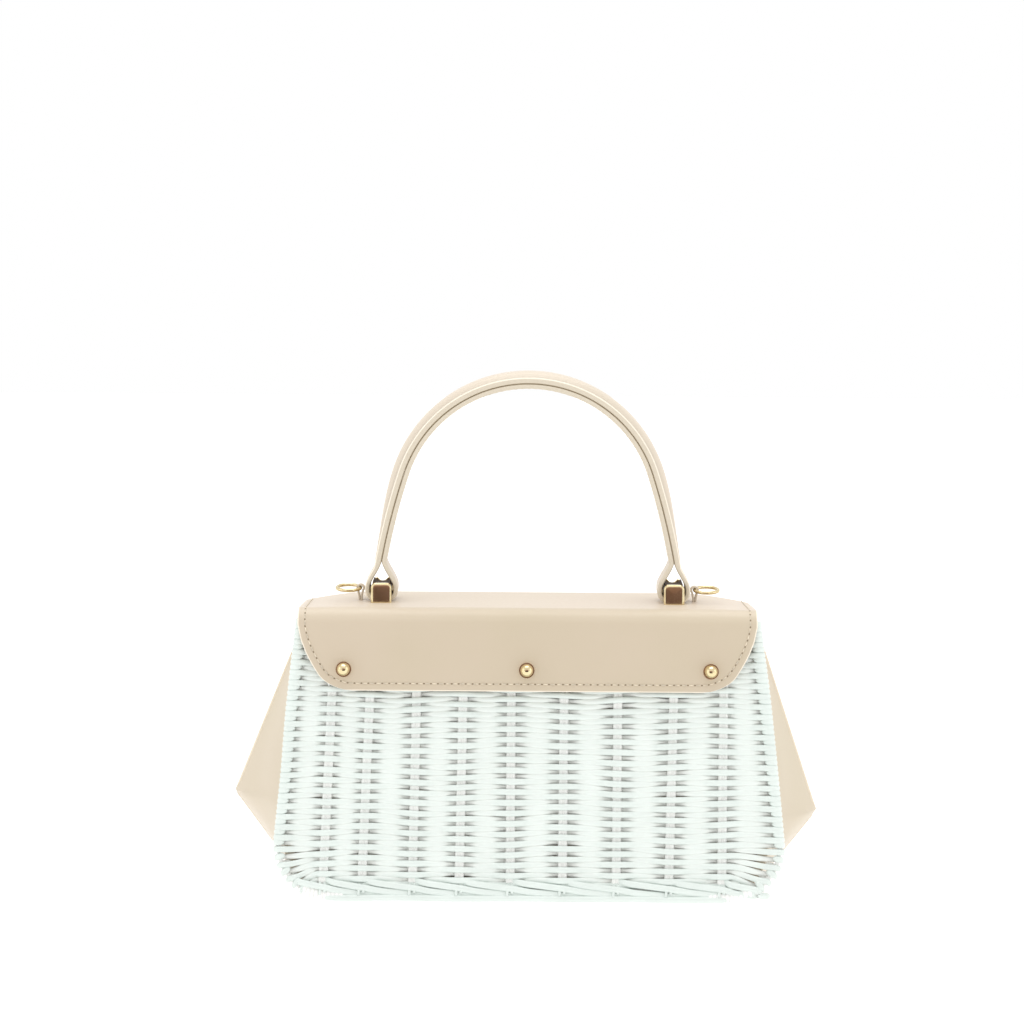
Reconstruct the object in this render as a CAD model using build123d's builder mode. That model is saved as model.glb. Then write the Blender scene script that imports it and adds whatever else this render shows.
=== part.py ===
"""Basket box bag.

Two woven cane panels lean towards each other over a flat base. Folded leather
gussets join their ends and stand out as pointed wings. A lined leather flap is
held to the back panel by three ball studs, folds over the mouth and drops down
the front, where a magnet holds it. The flap carries two metal bridges, a padded
leather handle looped round them, and a strap ring in a leather keeper at each end.

Frame: +Z up, +X along the bag, back panel towards -Y, origin on the ground at
the middle of the base. All sizes are in millimetres.
"""

from build123d import *
import os
from math import cos, radians, sin, sqrt, tan

os.makedirs("parts", exist_ok=True)

# ---------------------------------------------------------------- driving dimensions
# Woven panels
BASE_DEPTH = 104.0  # between the outer faces of the two panels at the ground
LEAN = 9.0  # how far each panel leans inwards, in degrees
PANEL_T = 7.0  # thickness of the weave
PANEL_TOP = 144.5  # height of a panel, measured up its slope
PANEL_HALF = 132.4  # half width of a panel at its foot, before the corners are rounded
PANEL_TAPER = 0.0973  # half width lost for each millimetre of height
CORNER_R = 28.0  # rounded bottom corners
BORDER_H = 9.0  # plaited foot border below the weave
STAKE_D = 2.3  # one upright cane
STAKE_GAP = 2.5  # between the two canes of a pair
STAKE_FEET = (-102.6, -83.0, -57.4, -33.8, -8.0, 18.4, 45.6, 72.2, 99.0)
STAKE_HEADS = (-97.4, -78.2, -55.4, -31.8, -8.0, 18.9, 46.2, 75.2, 99.8)
FRAME_D = 4.0  # bent rod round the sides and foot
FRAME_INSET = 5.0  # from the edge of the panel to the middle of that rod
BINDING_H = 12.0  # leather folded over the top edge of a panel
BINDING_T = 1.0
BINDING_ROUND = 3.4  # rounded edges along the top of the binding
BINDING_INSET = 11.0  # each end of the binding, from the edge of the panel
FIT = 0.05  # gap between a cane and its channel in the weave
STAKE_LIFT = 0.3  # foot of the stakes above the border
STAKE_DROP = 4.0  # head of the stakes below the top of the panel

# Base, gussets and lining
BASE_T = 3.0
BASE_LIFT = 1.0  # underside of the base above the ground
BASE_HALF = 104.0
BASE_ROUND = 6.0
SEAM_GAP = 0.3  # soft parts stay this far from the panels
GUSSET_T = 1.8
GUSSET_INSET = 6.0  # gusset seam, inside the edge of the panel
GUSSET_FOOT = 2.0
GUSSET_DROP = 1.0  # its mouth below the top of the panels
CORNER_RISE = 12.0  # extra level where the rounded corners turn fastest
WING_X = 151.0  # points of the wings
WING_LEFT_Z = 47.0
WING_RIGHT_Z = 38.5
RIDGE_TOP_X = 112.0  # where the ridge of a wing meets the mouth
RIDGE_FOOT_X = 120.0  # where the lower fold of a wing meets the base
LINING_T = 0.8
LINING_GAP = 2.3  # leaves room for the stud nuts
LINING_SLACK = 1.5  # behind the gussets
LINING_TOP = 131.0

# Flap
LEATHER_T = 1.6
FLAP_LINING_T = 0.8
FLAP_TOP = 147.0  # height of the outer face over the mouth
FOLD_R = 8.0  # outer radius of both folds
FLAP_HALF = 116.3  # half width over the mouth
BACK_DROP = 106.5  # lower edge of the back part, up the slope
BACK_HALF = 105.5  # half width at that edge, before rounding
BACK_ROUND = 22.0
FRONT_DROP = 74.0  # lower edge of the front part, up the slope
FRONT_HALF = 98.0
FRONT_ROUND = 32.0
FRONT_GAP = 3.6  # room for the magnet between flap and front panel
FOLD_FREE = 40.0  # part of the rear fold left free to bend, in degrees

# Studs and magnet
STUD_X = (-92.8, -0.3, 92.7)
STUD_V = 117.2  # up the slope
STUD_BALL_D = 6.4
STUD_FLANGE_D = 7.8
STUD_FLANGE_T = 1.0
STUD_SHANK_D = 3.0
BALL_SEAT = 0.6  # how deep the ball sits in its flange
NUT_D = 9.0
NUT_T = 1.6
NUT_CHAMFER = 0.4
MAGNET_V = 96.0
MAGNET_D = 15.0
MAGNET_T = 1.6
MAGNET_POST_D = 3.0
WASHER_T = 0.8

# Bridges
BRIDGE_X = 75.0
BRIDGE_W = 10.6
BRIDGE_H = 9.9
BRIDGE_LEG_T = 3.0
BRIDGE_SPAN = 24.0
BRIDGE_ROUND = 2.2
BAR_FOOT_W = 10.4
BAR_TOP_W = 8.8
BAR_CLEAR = 3.0  # under the bar, for the strap
BAR_TOP = 10.3
BAR_DIP = 1.8  # hollow along the top of the bar
SCREW_D = 2.0
SCREW_HEAD_D = 4.0
SCREW_HEAD_T = 1.2
SCREW_BITE = 5.0
TAP_DEPTH = 0.5  # tapped hole beyond the end of the screw
BACKING_W = 14.0
BACKING_L = 30.0
BACKING_T = 1.0
BACKING_ROUND = 2.0

# Handle
HANDLE_W = 16.0
ARCH_Z = 192.7  # centre of the round part
ARCH_R = 73.0  # outer radius
SEAM_DEPTH = 6.2  # from the outside to the seam
INNER_T = 2.6
ARCH_TURN = 18.0  # the round part ends this far above its centre, in degrees
SPLIT_Z = 168.0  # the two plies part here
OUTER_FOOT = 3.6  # half width of the joined plies at the split
STRAP_T = 2.5
LOOP_HALF = 8.45
LOOP_SHOULDER = 155.0
LOOP_LIFT = 0.1
LOOP_ROUND = 3.7  # outer radius where the strap turns under the bar
SHOULDER_DROP = 0.6  # inside the loop its shoulders lie this much lower
PEAK_DROP = 1.6  # and its peak this much
PEAK_HALF = 0.25
DOME_R = 3.0  # rounded edges of the padded ply
CORE_W = 11.0
CORE_SKIN = 2.0  # leather over the padding
CORE_LIFT = 0.2  # above the seam
CORE_FOOT = 212.0

# Strap rings
RING_R = 6.1
RING_WIRE_D = 1.8
RING_Z = 153.0
KEEPER_W = 3.2
KEEPER_T = 1.0
KEEPER_PLAY = 0.35

# ---------------------------------------------------------------- derived planes and helpers
SIN_L = sin(radians(LEAN))
COS_L = cos(radians(LEAN))
TAN_L = tan(radians(LEAN))
MID_Y = BASE_DEPTH / 2 - PANEL_T / 2 / COS_L
FLAP_T = LEATHER_T + FLAP_LINING_T

BACK = Plane(origin=(0, -MID_Y, 0), x_dir=(1, 0, 0), z_dir=(0, -COS_L, SIN_L))
FRONT = Plane(origin=(0, MID_Y, 0), x_dir=(-1, 0, 0), z_dir=(0, COS_L, SIN_L))
PANELS = {"back": BACK, "front": FRONT}
SIDES = {"left": -1, "right": 1}


def panel_half(v):
    """Half width of a panel at height v up its slope."""
    return PANEL_HALF - PANEL_TAPER * v


def corner_half(v):
    """Half width of a panel at height v, with its bottom corner rounded."""
    if v >= CORNER_R:
        return panel_half(v)
    drop = CORNER_R - v
    return panel_half(CORNER_R) - CORNER_R + sqrt(CORNER_R**2 - drop**2)


def inner_face_y(z):
    """Distance from the middle of the bag to the inner face of a panel at height z."""
    return MID_Y - z * TAN_L - PANEL_T / 2 / COS_L


def panel_sketch(low, high, half=4 * PANEL_HALF):
    """The face of a panel between two heights and two ends, with its bottom corners rounded."""
    with BuildSketch() as outline:
        with BuildLine():
            Polyline(
                (-panel_half(0), 0),
                (panel_half(0), 0),
                (panel_half(PANEL_TOP), PANEL_TOP),
                (-panel_half(PANEL_TOP), PANEL_TOP),
                close=True,
            )
        make_face()
        fillet(outline.vertices().group_by(Axis.Y)[0], CORNER_R)
        with Locations((0, (low + high) / 2)):
            Rectangle(2 * half, high - low, mode=Mode.INTERSECT)
    return outline.sketch


def frame_rod(plane, diameter):
    """The bent rod that runs down one side of a panel, along its foot and up again."""
    top = PANEL_TOP - 2 * FRAME_INSET / 3
    with BuildPart() as rod:
        with BuildLine(plane) as route:
            FilletPolyline(
                (-panel_half(top) + FRAME_INSET, top),
                (-panel_half(FRAME_INSET) + FRAME_INSET, FRAME_INSET),
                (panel_half(FRAME_INSET) - FRAME_INSET, FRAME_INSET),
                (panel_half(top) - FRAME_INSET, top),
                radius=CORNER_R - FRAME_INSET,
            )
        with BuildSketch(Plane(origin=route.line @ 0, z_dir=route.line % 0)):
            Circle(diameter / 2)
        sweep()
    return rod.part


def stake_rods(plane, diameter, low, high):
    """Nine pairs of upright canes between two heights of a panel."""
    with BuildPart() as rods:
        for foot, head in zip(STAKE_FEET, STAKE_HEADS):
            for side in (-1, 1):
                offset = side * STAKE_GAP / 2
                slope = (head - foot) / (PANEL_TOP - BORDER_H)
                start = plane.from_local_coords((foot + offset + slope * (low - BORDER_H), low, 0))
                end = plane.from_local_coords((foot + offset + slope * (high - BORDER_H), high, 0))
                with BuildSketch(Plane(origin=start, z_dir=end - start)):
                    Circle(diameter / 2)
                extrude(amount=(end - start).length)
    return rods.part


def finish(part, name):
    """Label a piece and write it out."""
    part.label = name
    export_step(part, f"parts/{name}.step")


# ---------------------------------------------------------------- woven panels
stake_low = BORDER_H + STAKE_LIFT
stake_top = PANEL_TOP - STAKE_DROP
tongue_low = PANEL_TOP - BINDING_H
binding_half = panel_half(PANEL_TOP) - BINDING_INSET
tongue_t = PANEL_T - 2 * BINDING_T

for place, plane in PANELS.items():
    stakes = stake_rods(plane, STAKE_D, stake_low, stake_top)
    finish(stakes, f"{place}_stakes")

    frame = frame_rod(plane, FRAME_D)
    finish(frame, f"{place}_frame_rod")

    with BuildPart() as weave:
        with BuildSketch(plane):
            add(panel_sketch(BORDER_H, tongue_low))
        extrude(amount=PANEL_T / 2, both=True)
        with BuildSketch(plane):
            add(panel_sketch(tongue_low, PANEL_TOP - BINDING_T))
        extrude(amount=tongue_t / 2, both=True)
        add(stake_rods(plane, STAKE_D + 2 * FIT, BORDER_H - 1, stake_top), mode=Mode.SUBTRACT)
        add(frame_rod(plane, FRAME_D + 2 * FIT), mode=Mode.SUBTRACT)
        bores = [(x, STUD_V) for x in STUD_X] if place == "back" else [(0, MAGNET_V)]
        with BuildSketch(plane):
            with Locations(*bores):
                Circle(STUD_SHANK_D / 2 + FIT)
        extrude(amount=PANEL_T, both=True, mode=Mode.SUBTRACT)
    finish(weave.part, f"{place}_weave")

    with BuildPart() as border:
        with BuildSketch(plane):
            add(panel_sketch(0, BORDER_H))
        extrude(amount=PANEL_T / 2, both=True)
        split(bisect_by=Plane.XY, keep=Keep.TOP)
        add(frame_rod(plane, FRAME_D + 2 * FIT), mode=Mode.SUBTRACT)
    finish(border.part, f"{place}_foot_border")

    with BuildPart() as binding:
        with BuildSketch(plane):
            add(panel_sketch(tongue_low, PANEL_TOP, binding_half))
        extrude(amount=PANEL_T / 2, both=True)
        rim = binding.faces().sort_by(Axis.Z)[-1].edges().filter_by(Axis.X)
        fillet(rim, BINDING_ROUND)
        with BuildSketch(plane):
            add(panel_sketch(tongue_low, PANEL_TOP - BINDING_T))
        extrude(amount=tongue_t / 2, both=True, mode=Mode.SUBTRACT)
    finish(binding.part, f"{place}_top_binding")

# ---------------------------------------------------------------- base, gussets and lining
with BuildPart() as base_panel:
    with BuildSketch(Plane.XY.offset(BASE_LIFT)):
        RectangleRounded(2 * BASE_HALF, 2 * (inner_face_y(BASE_LIFT + BASE_T) - SEAM_GAP), BASE_ROUND)
    extrude(amount=BASE_T)
finish(base_panel.part, "base_panel")


def ridge_x(z, point_z):
    """Half length of the bag along the fold of a wing at height z."""
    if z >= point_z:
        return WING_X + (RIDGE_TOP_X - WING_X) * (z - point_z) / (FLAP_TOP - point_z)
    return WING_X + (RIDGE_FOOT_X - WING_X) * (point_z - z) / (point_z - GUSSET_FOOT)


def gusset_level(z, point_z, side):
    """Chevron section of one gusset: out from a panel to the fold and back."""
    seam_x = corner_half(z / COS_L) - GUSSET_INSET
    seam_y = inner_face_y(z) - SEAM_GAP
    fold_x = ridge_x(z, point_z)
    with BuildSketch(Plane.XY.offset(z)) as level:
        with BuildLine():
            Polyline(
                (side * seam_x, -seam_y),
                (side * fold_x, 0),
                (side * seam_x, seam_y),
                (side * (seam_x - GUSSET_T), seam_y),
                (side * (fold_x - GUSSET_T), 0),
                (side * (seam_x - GUSSET_T), -seam_y),
                close=True,
            )
        make_face()
    return level.sketch


gusset_top = PANEL_TOP * COS_L - GUSSET_DROP
WING_Z = {"left": WING_LEFT_Z, "right": WING_RIGHT_Z}
for hand, side in SIDES.items():
    point_z = WING_Z[hand]
    with BuildPart() as gusset:
        for z in (GUSSET_FOOT, CORNER_RISE, CORNER_R, point_z, gusset_top):
            add(gusset_level(z, point_z, side))
        loft(ruled=True)
    finish(gusset.part, f"gusset_{hand}")


def lining_level(z, inset):
    """Six-cornered section of the lining bag, in from the gussets and panels."""
    half_y = inner_face_y(z) - LINING_GAP - inset
    fold = GUSSET_T + LINING_SLACK + inset
    seam_x = corner_half(z / COS_L) - GUSSET_INSET - fold
    left_x = ridge_x(z, WING_LEFT_Z) - fold
    right_x = ridge_x(z, WING_RIGHT_Z) - fold
    with BuildSketch(Plane.XY.offset(z)) as level:
        with BuildLine():
            Polyline(
                (-seam_x, -half_y),
                (seam_x, -half_y),
                (right_x, 0),
                (seam_x, half_y),
                (-seam_x, half_y),
                (-left_x, 0),
                close=True,
            )
        make_face()
    return level.sketch


lining_foot = BASE_LIFT + BASE_T
lining_levels = (CORNER_RISE, CORNER_R, WING_RIGHT_Z, WING_LEFT_Z, LINING_TOP)
with BuildPart() as hollow:
    for z in (lining_foot + LINING_T, *lining_levels):
        add(lining_level(z, LINING_T))
    loft(ruled=True)

with BuildPart() as lining:
    for z in (lining_foot, *lining_levels):
        add(lining_level(z, 0))
    loft(ruled=True)
    add(hollow.part, mode=Mode.SUBTRACT)
finish(lining.part, "lining")

# ---------------------------------------------------------------- flap
rear_fold_z = FLAP_TOP - FOLD_R
rear_w = PANEL_T / 2 + FLAP_T - FOLD_R
front_w = PANEL_T / 2 + FRONT_GAP + FLAP_T - FOLD_R
rear_fold = (-MID_Y - (rear_w - rear_fold_z * SIN_L) / COS_L, rear_fold_z)
front_fold = (MID_Y + (front_w - rear_fold_z * SIN_L) / COS_L, rear_fold_z)
fold_v = SIN_L * (rear_fold[0] + MID_Y) + COS_L * rear_fold_z
fold_turn = 90.0 - LEAN
front_length = fold_v - FRONT_DROP


def back_flap_sketch():
    """Outline of the fixed part of the flap, on the back panel."""
    with BuildSketch() as outline:
        with BuildLine():
            Polyline(
                (-BACK_HALF, BACK_DROP),
                (BACK_HALF, BACK_DROP),
                (FLAP_HALF, fold_v),
                (-FLAP_HALF, fold_v),
                close=True,
            )
        make_face()
        fillet(outline.vertices().group_by(Axis.Y)[0], BACK_ROUND)
    return outline.sketch


def front_flap_sketch():
    """Outline of the moving part of the flap, seen square to the front panel."""
    far = 2 * PANEL_TOP
    with BuildSketch() as outline:
        with BuildLine():
            Polyline(
                (-FRONT_HALF, FRONT_DROP),
                (FRONT_HALF, FRONT_DROP),
                (FLAP_HALF, fold_v),
                (FLAP_HALF, far),
                (-FLAP_HALF, far),
                (-FLAP_HALF, fold_v),
                close=True,
            )
        make_face()
        fillet(outline.vertices().group_by(Axis.Y)[0], FRONT_ROUND)
    return outline.sketch


def cover_section(outer, inner):
    """Side section of one layer of the moving flap: rear fold, top, front fold and drop."""
    rear_turn = fold_turn - FOLD_FREE
    down = Vector(SIN_L, -COS_L) * front_length
    with BuildSketch() as section:
        with BuildLine():
            rear_out = CenterArc(rear_fold, outer, 90, rear_turn)
            front_out = CenterArc(front_fold, outer, LEAN, fold_turn)
            rear_in = CenterArc(rear_fold, inner, 90, rear_turn)
            front_in = CenterArc(front_fold, inner, LEAN, fold_turn)
            Line(rear_out @ 0, front_out @ 1)
            Line(rear_in @ 0, front_in @ 1)
            Line(rear_out @ 1, rear_in @ 1)
            drop_out = Line(front_out @ 0, (front_out @ 0) + down)
            drop_in = Line(front_in @ 0, (front_in @ 0) + down)
            Line(drop_out @ 1, drop_in @ 1)
        make_face()
    return section.sketch


screw_y = BRIDGE_SPAN / 2 - BRIDGE_LEG_T / 2
screw_spots = [(side * BRIDGE_X, y) for side in SIDES.values() for y in (-screw_y, screw_y)]
loop_out_x = BRIDGE_X + LOOP_HALF
keeper_r = RING_WIRE_D / 2 + KEEPER_PLAY + KEEPER_T
ring_pin_x = loop_out_x + SEAM_GAP + keeper_r
LAYERS = {
    "flap_{}": (FOLD_R, FOLD_R - LEATHER_T, PANEL_T / 2 + FLAP_LINING_T, LEATHER_T),
    "flap_{}_lining": (FOLD_R - LEATHER_T, FOLD_R - FLAP_T, PANEL_T / 2, FLAP_LINING_T),
}

for name, (outer, inner, lift, thick) in LAYERS.items():
    with BuildPart() as back_layer:
        with BuildSketch(BACK.offset(lift)):
            add(back_flap_sketch())
            with Locations(*[(x, STUD_V) for x in STUD_X]):
                Circle(STUD_SHANK_D / 2 + FIT, mode=Mode.SUBTRACT)
        extrude(amount=thick)
    finish(back_layer.part, name.format("back"))

    with BuildPart() as cover_layer:
        with BuildSketch(Plane.YZ):
            add(cover_section(outer, inner))
        extrude(amount=FLAP_HALF, both=True)
        with BuildSketch(FRONT.offset(-2 * BASE_DEPTH)):
            add(front_flap_sketch())
        extrude(amount=3 * BASE_DEPTH, mode=Mode.INTERSECT)
        with BuildSketch(Plane.XY.offset(FLAP_TOP - 2 * FLAP_T)):
            with Locations(*screw_spots):
                Circle(SCREW_D / 2 + FIT)
        extrude(amount=3 * FLAP_T, mode=Mode.SUBTRACT)
        with BuildSketch(FRONT):
            with Locations((0, MAGNET_V)):
                Circle(MAGNET_POST_D / 2 + FIT)
        if name == "flap_{}_lining":
            extrude(amount=PANEL_T + FRONT_GAP, mode=Mode.SUBTRACT)
        else:
            with BuildSketch(Plane.XY.offset(FLAP_TOP - LEATHER_T)):
                with Locations((-ring_pin_x, 0), (ring_pin_x, 0)):
                    Rectangle(2 * KEEPER_T + 2 * FIT, KEEPER_W + 2 * FIT)
            extrude(amount=2 * LEATHER_T, mode=Mode.SUBTRACT)
    finish(cover_layer.part, name.format("cover"))

# ---------------------------------------------------------------- studs and magnet
UPWARDS = (Align.CENTER, Align.CENTER, Align.MIN)
flap_face = PANEL_T / 2 + FLAP_T
for hand, x in zip(("left", "centre", "right"), STUD_X):
    axis_plane = Plane(origin=BACK.from_local_coords((x, STUD_V, 0)), x_dir=(1, 0, 0), z_dir=BACK.z_dir)
    with BuildPart(axis_plane) as stud:
        with Locations((0, 0, -PANEL_T / 2 - NUT_T)):
            Cylinder(STUD_SHANK_D / 2, PANEL_T + NUT_T + FLAP_T, align=UPWARDS)
        with Locations((0, 0, flap_face)):
            Cylinder(STUD_FLANGE_D / 2, STUD_FLANGE_T, align=UPWARDS)
        with Locations((0, 0, flap_face + STUD_FLANGE_T + STUD_BALL_D / 2 - BALL_SEAT)):
            Sphere(STUD_BALL_D / 2)
    finish(stud.part, f"stud_{hand}")

    with BuildPart() as nut:
        with BuildSketch(axis_plane.offset(-PANEL_T / 2 - NUT_T)):
            Circle(NUT_D / 2)
            Circle(STUD_SHANK_D / 2 + FIT, mode=Mode.SUBTRACT)
        extrude(amount=NUT_T)
        chamfer(nut.edges().filter_by(GeomType.CIRCLE).sort_by(Axis.Y)[-1], NUT_CHAMFER)
    finish(nut.part, f"stud_nut_{hand}")

post_gap = PANEL_T / 2 + FRONT_GAP
with BuildPart() as magnet_socket:
    with BuildSketch(FRONT.offset(-PANEL_T / 2 - WASHER_T)):
        with Locations((0, MAGNET_V)):
            Circle(MAGNET_POST_D / 2)
    extrude(amount=PANEL_T + WASHER_T)
    with BuildSketch(FRONT.offset(PANEL_T / 2)):
        with Locations((0, MAGNET_V)):
            Circle(MAGNET_D / 2)
    extrude(amount=MAGNET_T)
finish(magnet_socket.part, "magnet_socket")

with BuildPart() as socket_washer:
    with BuildSketch(FRONT.offset(-PANEL_T / 2 - WASHER_T)):
        with Locations((0, MAGNET_V)):
            Circle(MAGNET_D / 2)
            Circle(MAGNET_POST_D / 2 + FIT, mode=Mode.SUBTRACT)
    extrude(amount=WASHER_T)
finish(socket_washer.part, "magnet_socket_washer")

with BuildPart() as magnet_button:
    with BuildSketch(FRONT.offset(post_gap - MAGNET_T)):
        with Locations((0, MAGNET_V)):
            Circle(MAGNET_D / 2)
    extrude(amount=MAGNET_T)
    with BuildSketch(FRONT.offset(post_gap)):
        with Locations((0, MAGNET_V)):
            Circle(MAGNET_POST_D / 2)
    extrude(amount=FLAP_LINING_T)
finish(magnet_button.part, "magnet_button")

# ---------------------------------------------------------------- bridges
bar_low = FLAP_TOP + BAR_CLEAR
bar_high = FLAP_TOP + BAR_TOP
backing_top = FLAP_TOP - FLAP_T

for hand, side in SIDES.items():
    centre_x = side * BRIDGE_X
    with BuildPart() as bridge:
        with BuildSketch(Plane.XZ.offset(-BRIDGE_SPAN / 2)) as leg:
            with Locations((centre_x, FLAP_TOP + BRIDGE_H / 2)):
                Rectangle(BRIDGE_W, BRIDGE_H)
            fillet(leg.vertices().group_by(Axis.Y)[-1], BRIDGE_ROUND)
        extrude(amount=BRIDGE_LEG_T)
        mirror(about=Plane.XZ)
        with BuildSketch(Plane.XZ):
            with BuildLine():
                foot = Line((centre_x - BAR_FOOT_W / 2, bar_low), (centre_x + BAR_FOOT_W / 2, bar_low))
                rise = Line(foot @ 1, (centre_x + BAR_TOP_W / 2, bar_high))
                hollow_top = ThreePointArc(
                    rise @ 1,
                    (centre_x, bar_high - BAR_DIP),
                    (centre_x - BAR_TOP_W / 2, bar_high),
                )
                Line(hollow_top @ 1, foot @ 0)
            make_face()
        extrude(amount=BRIDGE_SPAN / 2 - BRIDGE_LEG_T, both=True)
        with BuildSketch(Plane.XY.offset(FLAP_TOP)):
            with Locations((centre_x, -screw_y), (centre_x, screw_y)):
                Circle(SCREW_D / 2 + FIT)
        extrude(amount=SCREW_BITE + TAP_DEPTH, mode=Mode.SUBTRACT)
    finish(bridge.part, f"bridge_{hand}")

    with BuildPart() as backing:
        with BuildSketch(Plane.XY.offset(backing_top - BACKING_T)):
            with Locations((centre_x, 0)):
                RectangleRounded(BACKING_W, BACKING_L, BACKING_ROUND)
            with Locations((centre_x, -screw_y), (centre_x, screw_y)):
                Circle(SCREW_D / 2 + FIT, mode=Mode.SUBTRACT)
        extrude(amount=BACKING_T)
    finish(backing.part, f"bridge_backing_{hand}")

head_low = backing_top - BACKING_T - SCREW_HEAD_T
with BuildPart() as bridge_screws:
    with BuildSketch(Plane.XY.offset(head_low)):
        with Locations(*screw_spots):
            Circle(SCREW_HEAD_D / 2)
    extrude(amount=SCREW_HEAD_T)
    with BuildSketch(Plane.XY.offset(head_low + SCREW_HEAD_T)):
        with Locations(*screw_spots):
            Circle(SCREW_D / 2)
    extrude(amount=BACKING_T + FLAP_T + SCREW_BITE)
finish(bridge_screws.part, "bridge_screws")


# ---------------------------------------------------------------- handle
def arch_sketch(radius, foot_half):
    """Area under one face of the handle: a round top, then legs that flare to the split."""
    with BuildSketch() as area:
        with BuildLine():
            top = CenterArc((0, ARCH_Z), radius, ARCH_TURN, 180 - 2 * ARCH_TURN)
            right = TangentArc(top @ 0, (foot_half, SPLIT_Z), tangent=(top % 0) * -1)
            left = TangentArc(top @ 1, (-foot_half, SPLIT_Z), tangent=top % 1)
            Line(right @ 1, left @ 1)
        make_face()
    return area.sketch


def loop_sketch(side, half, low, shoulder, peak, peak_half, low_round):
    """Outline of a strap loop round one bar: upright sides that close up to the split."""
    centre_x = side * BRIDGE_X
    with BuildSketch() as area:
        with BuildLine():
            Polyline(
                (centre_x - half, low),
                (centre_x + half, low),
                (centre_x + half, shoulder),
                (centre_x + peak_half, peak),
                (centre_x - peak_half, peak),
                (centre_x - half, shoulder),
                close=True,
            )
        make_face()
        fillet(area.vertices().group_by(Axis.Y)[0], low_round)
        fillet(area.vertices().filter_by_position(Axis.Y, shoulder - 0.01, shoulder + 0.01), 2 * half)
    return area.sketch


strap_low = FLAP_TOP + LOOP_LIFT
outer_area = arch_sketch(ARCH_R, BRIDGE_X + OUTER_FOOT)
seam_area = arch_sketch(ARCH_R - SEAM_DEPTH, BRIDGE_X)
inner_area = arch_sketch(ARCH_R - SEAM_DEPTH - INNER_T, BRIDGE_X - OUTER_FOOT)


def loops(outside):
    """The strap loops on both bars: their outer or their inner halves."""
    with BuildSketch() as area:
        for side in SIDES.values():
            add(loop_sketch(side, LOOP_HALF, strap_low, LOOP_SHOULDER, SPLIT_Z, OUTER_FOOT, LOOP_ROUND))
        for side in SIDES.values():
            add(
                loop_sketch(
                    side,
                    LOOP_HALF - STRAP_T,
                    strap_low + STRAP_T,
                    LOOP_SHOULDER - SHOULDER_DROP,
                    SPLIT_Z - PEAK_DROP,
                    PEAK_HALF,
                    LOOP_ROUND - STRAP_T,
                ),
                mode=Mode.SUBTRACT,
            )
        with Locations((0, LOOP_SHOULDER)):
            Rectangle(2 * BRIDGE_X, 8 * LOOP_HALF, mode=Mode.SUBTRACT if outside else Mode.INTERSECT)
    return area.sketch


with BuildSketch() as core_area:
    with Locations((0, ARCH_Z)):
        Circle(ARCH_R - CORE_SKIN)
        Circle(ARCH_R - SEAM_DEPTH + CORE_LIFT, mode=Mode.SUBTRACT)
    with Locations((0, CORE_FOOT + ARCH_R)):
        Rectangle(4 * ARCH_R, 2 * ARCH_R, mode=Mode.INTERSECT)

with BuildPart() as handle_core:
    with BuildSketch(Plane.XZ):
        add(core_area.sketch)
    extrude(amount=CORE_W / 2, both=True)
finish(handle_core.part, "handle_core")

with BuildPart() as handle_outer:
    with BuildSketch(Plane.XZ):
        add(outer_area)
        add(seam_area, mode=Mode.SUBTRACT)
        add(loops(outside=True))
    extrude(amount=HANDLE_W / 2, both=True)
    arc_edges = handle_outer.edges().filter_by(GeomType.CIRCLE)
    fillet([e for e in arc_edges if abs(e.radius - ARCH_R) < 0.01], DOME_R)
    add(handle_core.part, mode=Mode.SUBTRACT)
finish(handle_outer.part, "handle_outer")

with BuildPart() as handle_inner:
    with BuildSketch(Plane.XZ):
        add(seam_area)
        add(inner_area, mode=Mode.SUBTRACT)
        add(loops(outside=False))
    extrude(amount=HANDLE_W / 2, both=True)
finish(handle_inner.part, "handle_inner")

# ---------------------------------------------------------------- strap rings and their keepers
for hand, side in SIDES.items():
    pin_x = side * ring_pin_x
    with BuildPart() as keeper:
        with BuildSketch(Plane.XZ):
            with Locations((pin_x, RING_Z)):
                Circle(keeper_r)
            with Locations((pin_x, (FLAP_TOP - LEATHER_T + RING_Z) / 2)):
                Rectangle(2 * KEEPER_T, RING_Z - FLAP_TOP + LEATHER_T)
            with Locations((pin_x, RING_Z)):
                Circle(RING_WIRE_D / 2 + KEEPER_PLAY, mode=Mode.SUBTRACT)
        extrude(amount=KEEPER_W / 2, both=True)
    finish(keeper.part, f"ring_keeper_{hand}")

    with BuildPart() as ring:
        with Locations((side * (ring_pin_x + RING_R), 0, RING_Z)):
            Torus(RING_R, RING_WIRE_D / 2)
    finish(ring.part, f"ring_{hand}")
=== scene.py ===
"""Looks of the basket box bag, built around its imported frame.

Two panels of lacquered cane lean over a narrow base, leather gussets fold out as
wings, and a lined leather flap carries gilt bridges, strap rings and a padded
handle. Shapes are worked out in millimetres and written to the meshes in metres.
"""

import logging
from dataclasses import dataclass, field
from enum import Enum
from math import cos, pi, radians, sin, tan

import bmesh
import bpy
import numpy as np
from mathutils import Matrix, Vector


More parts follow.
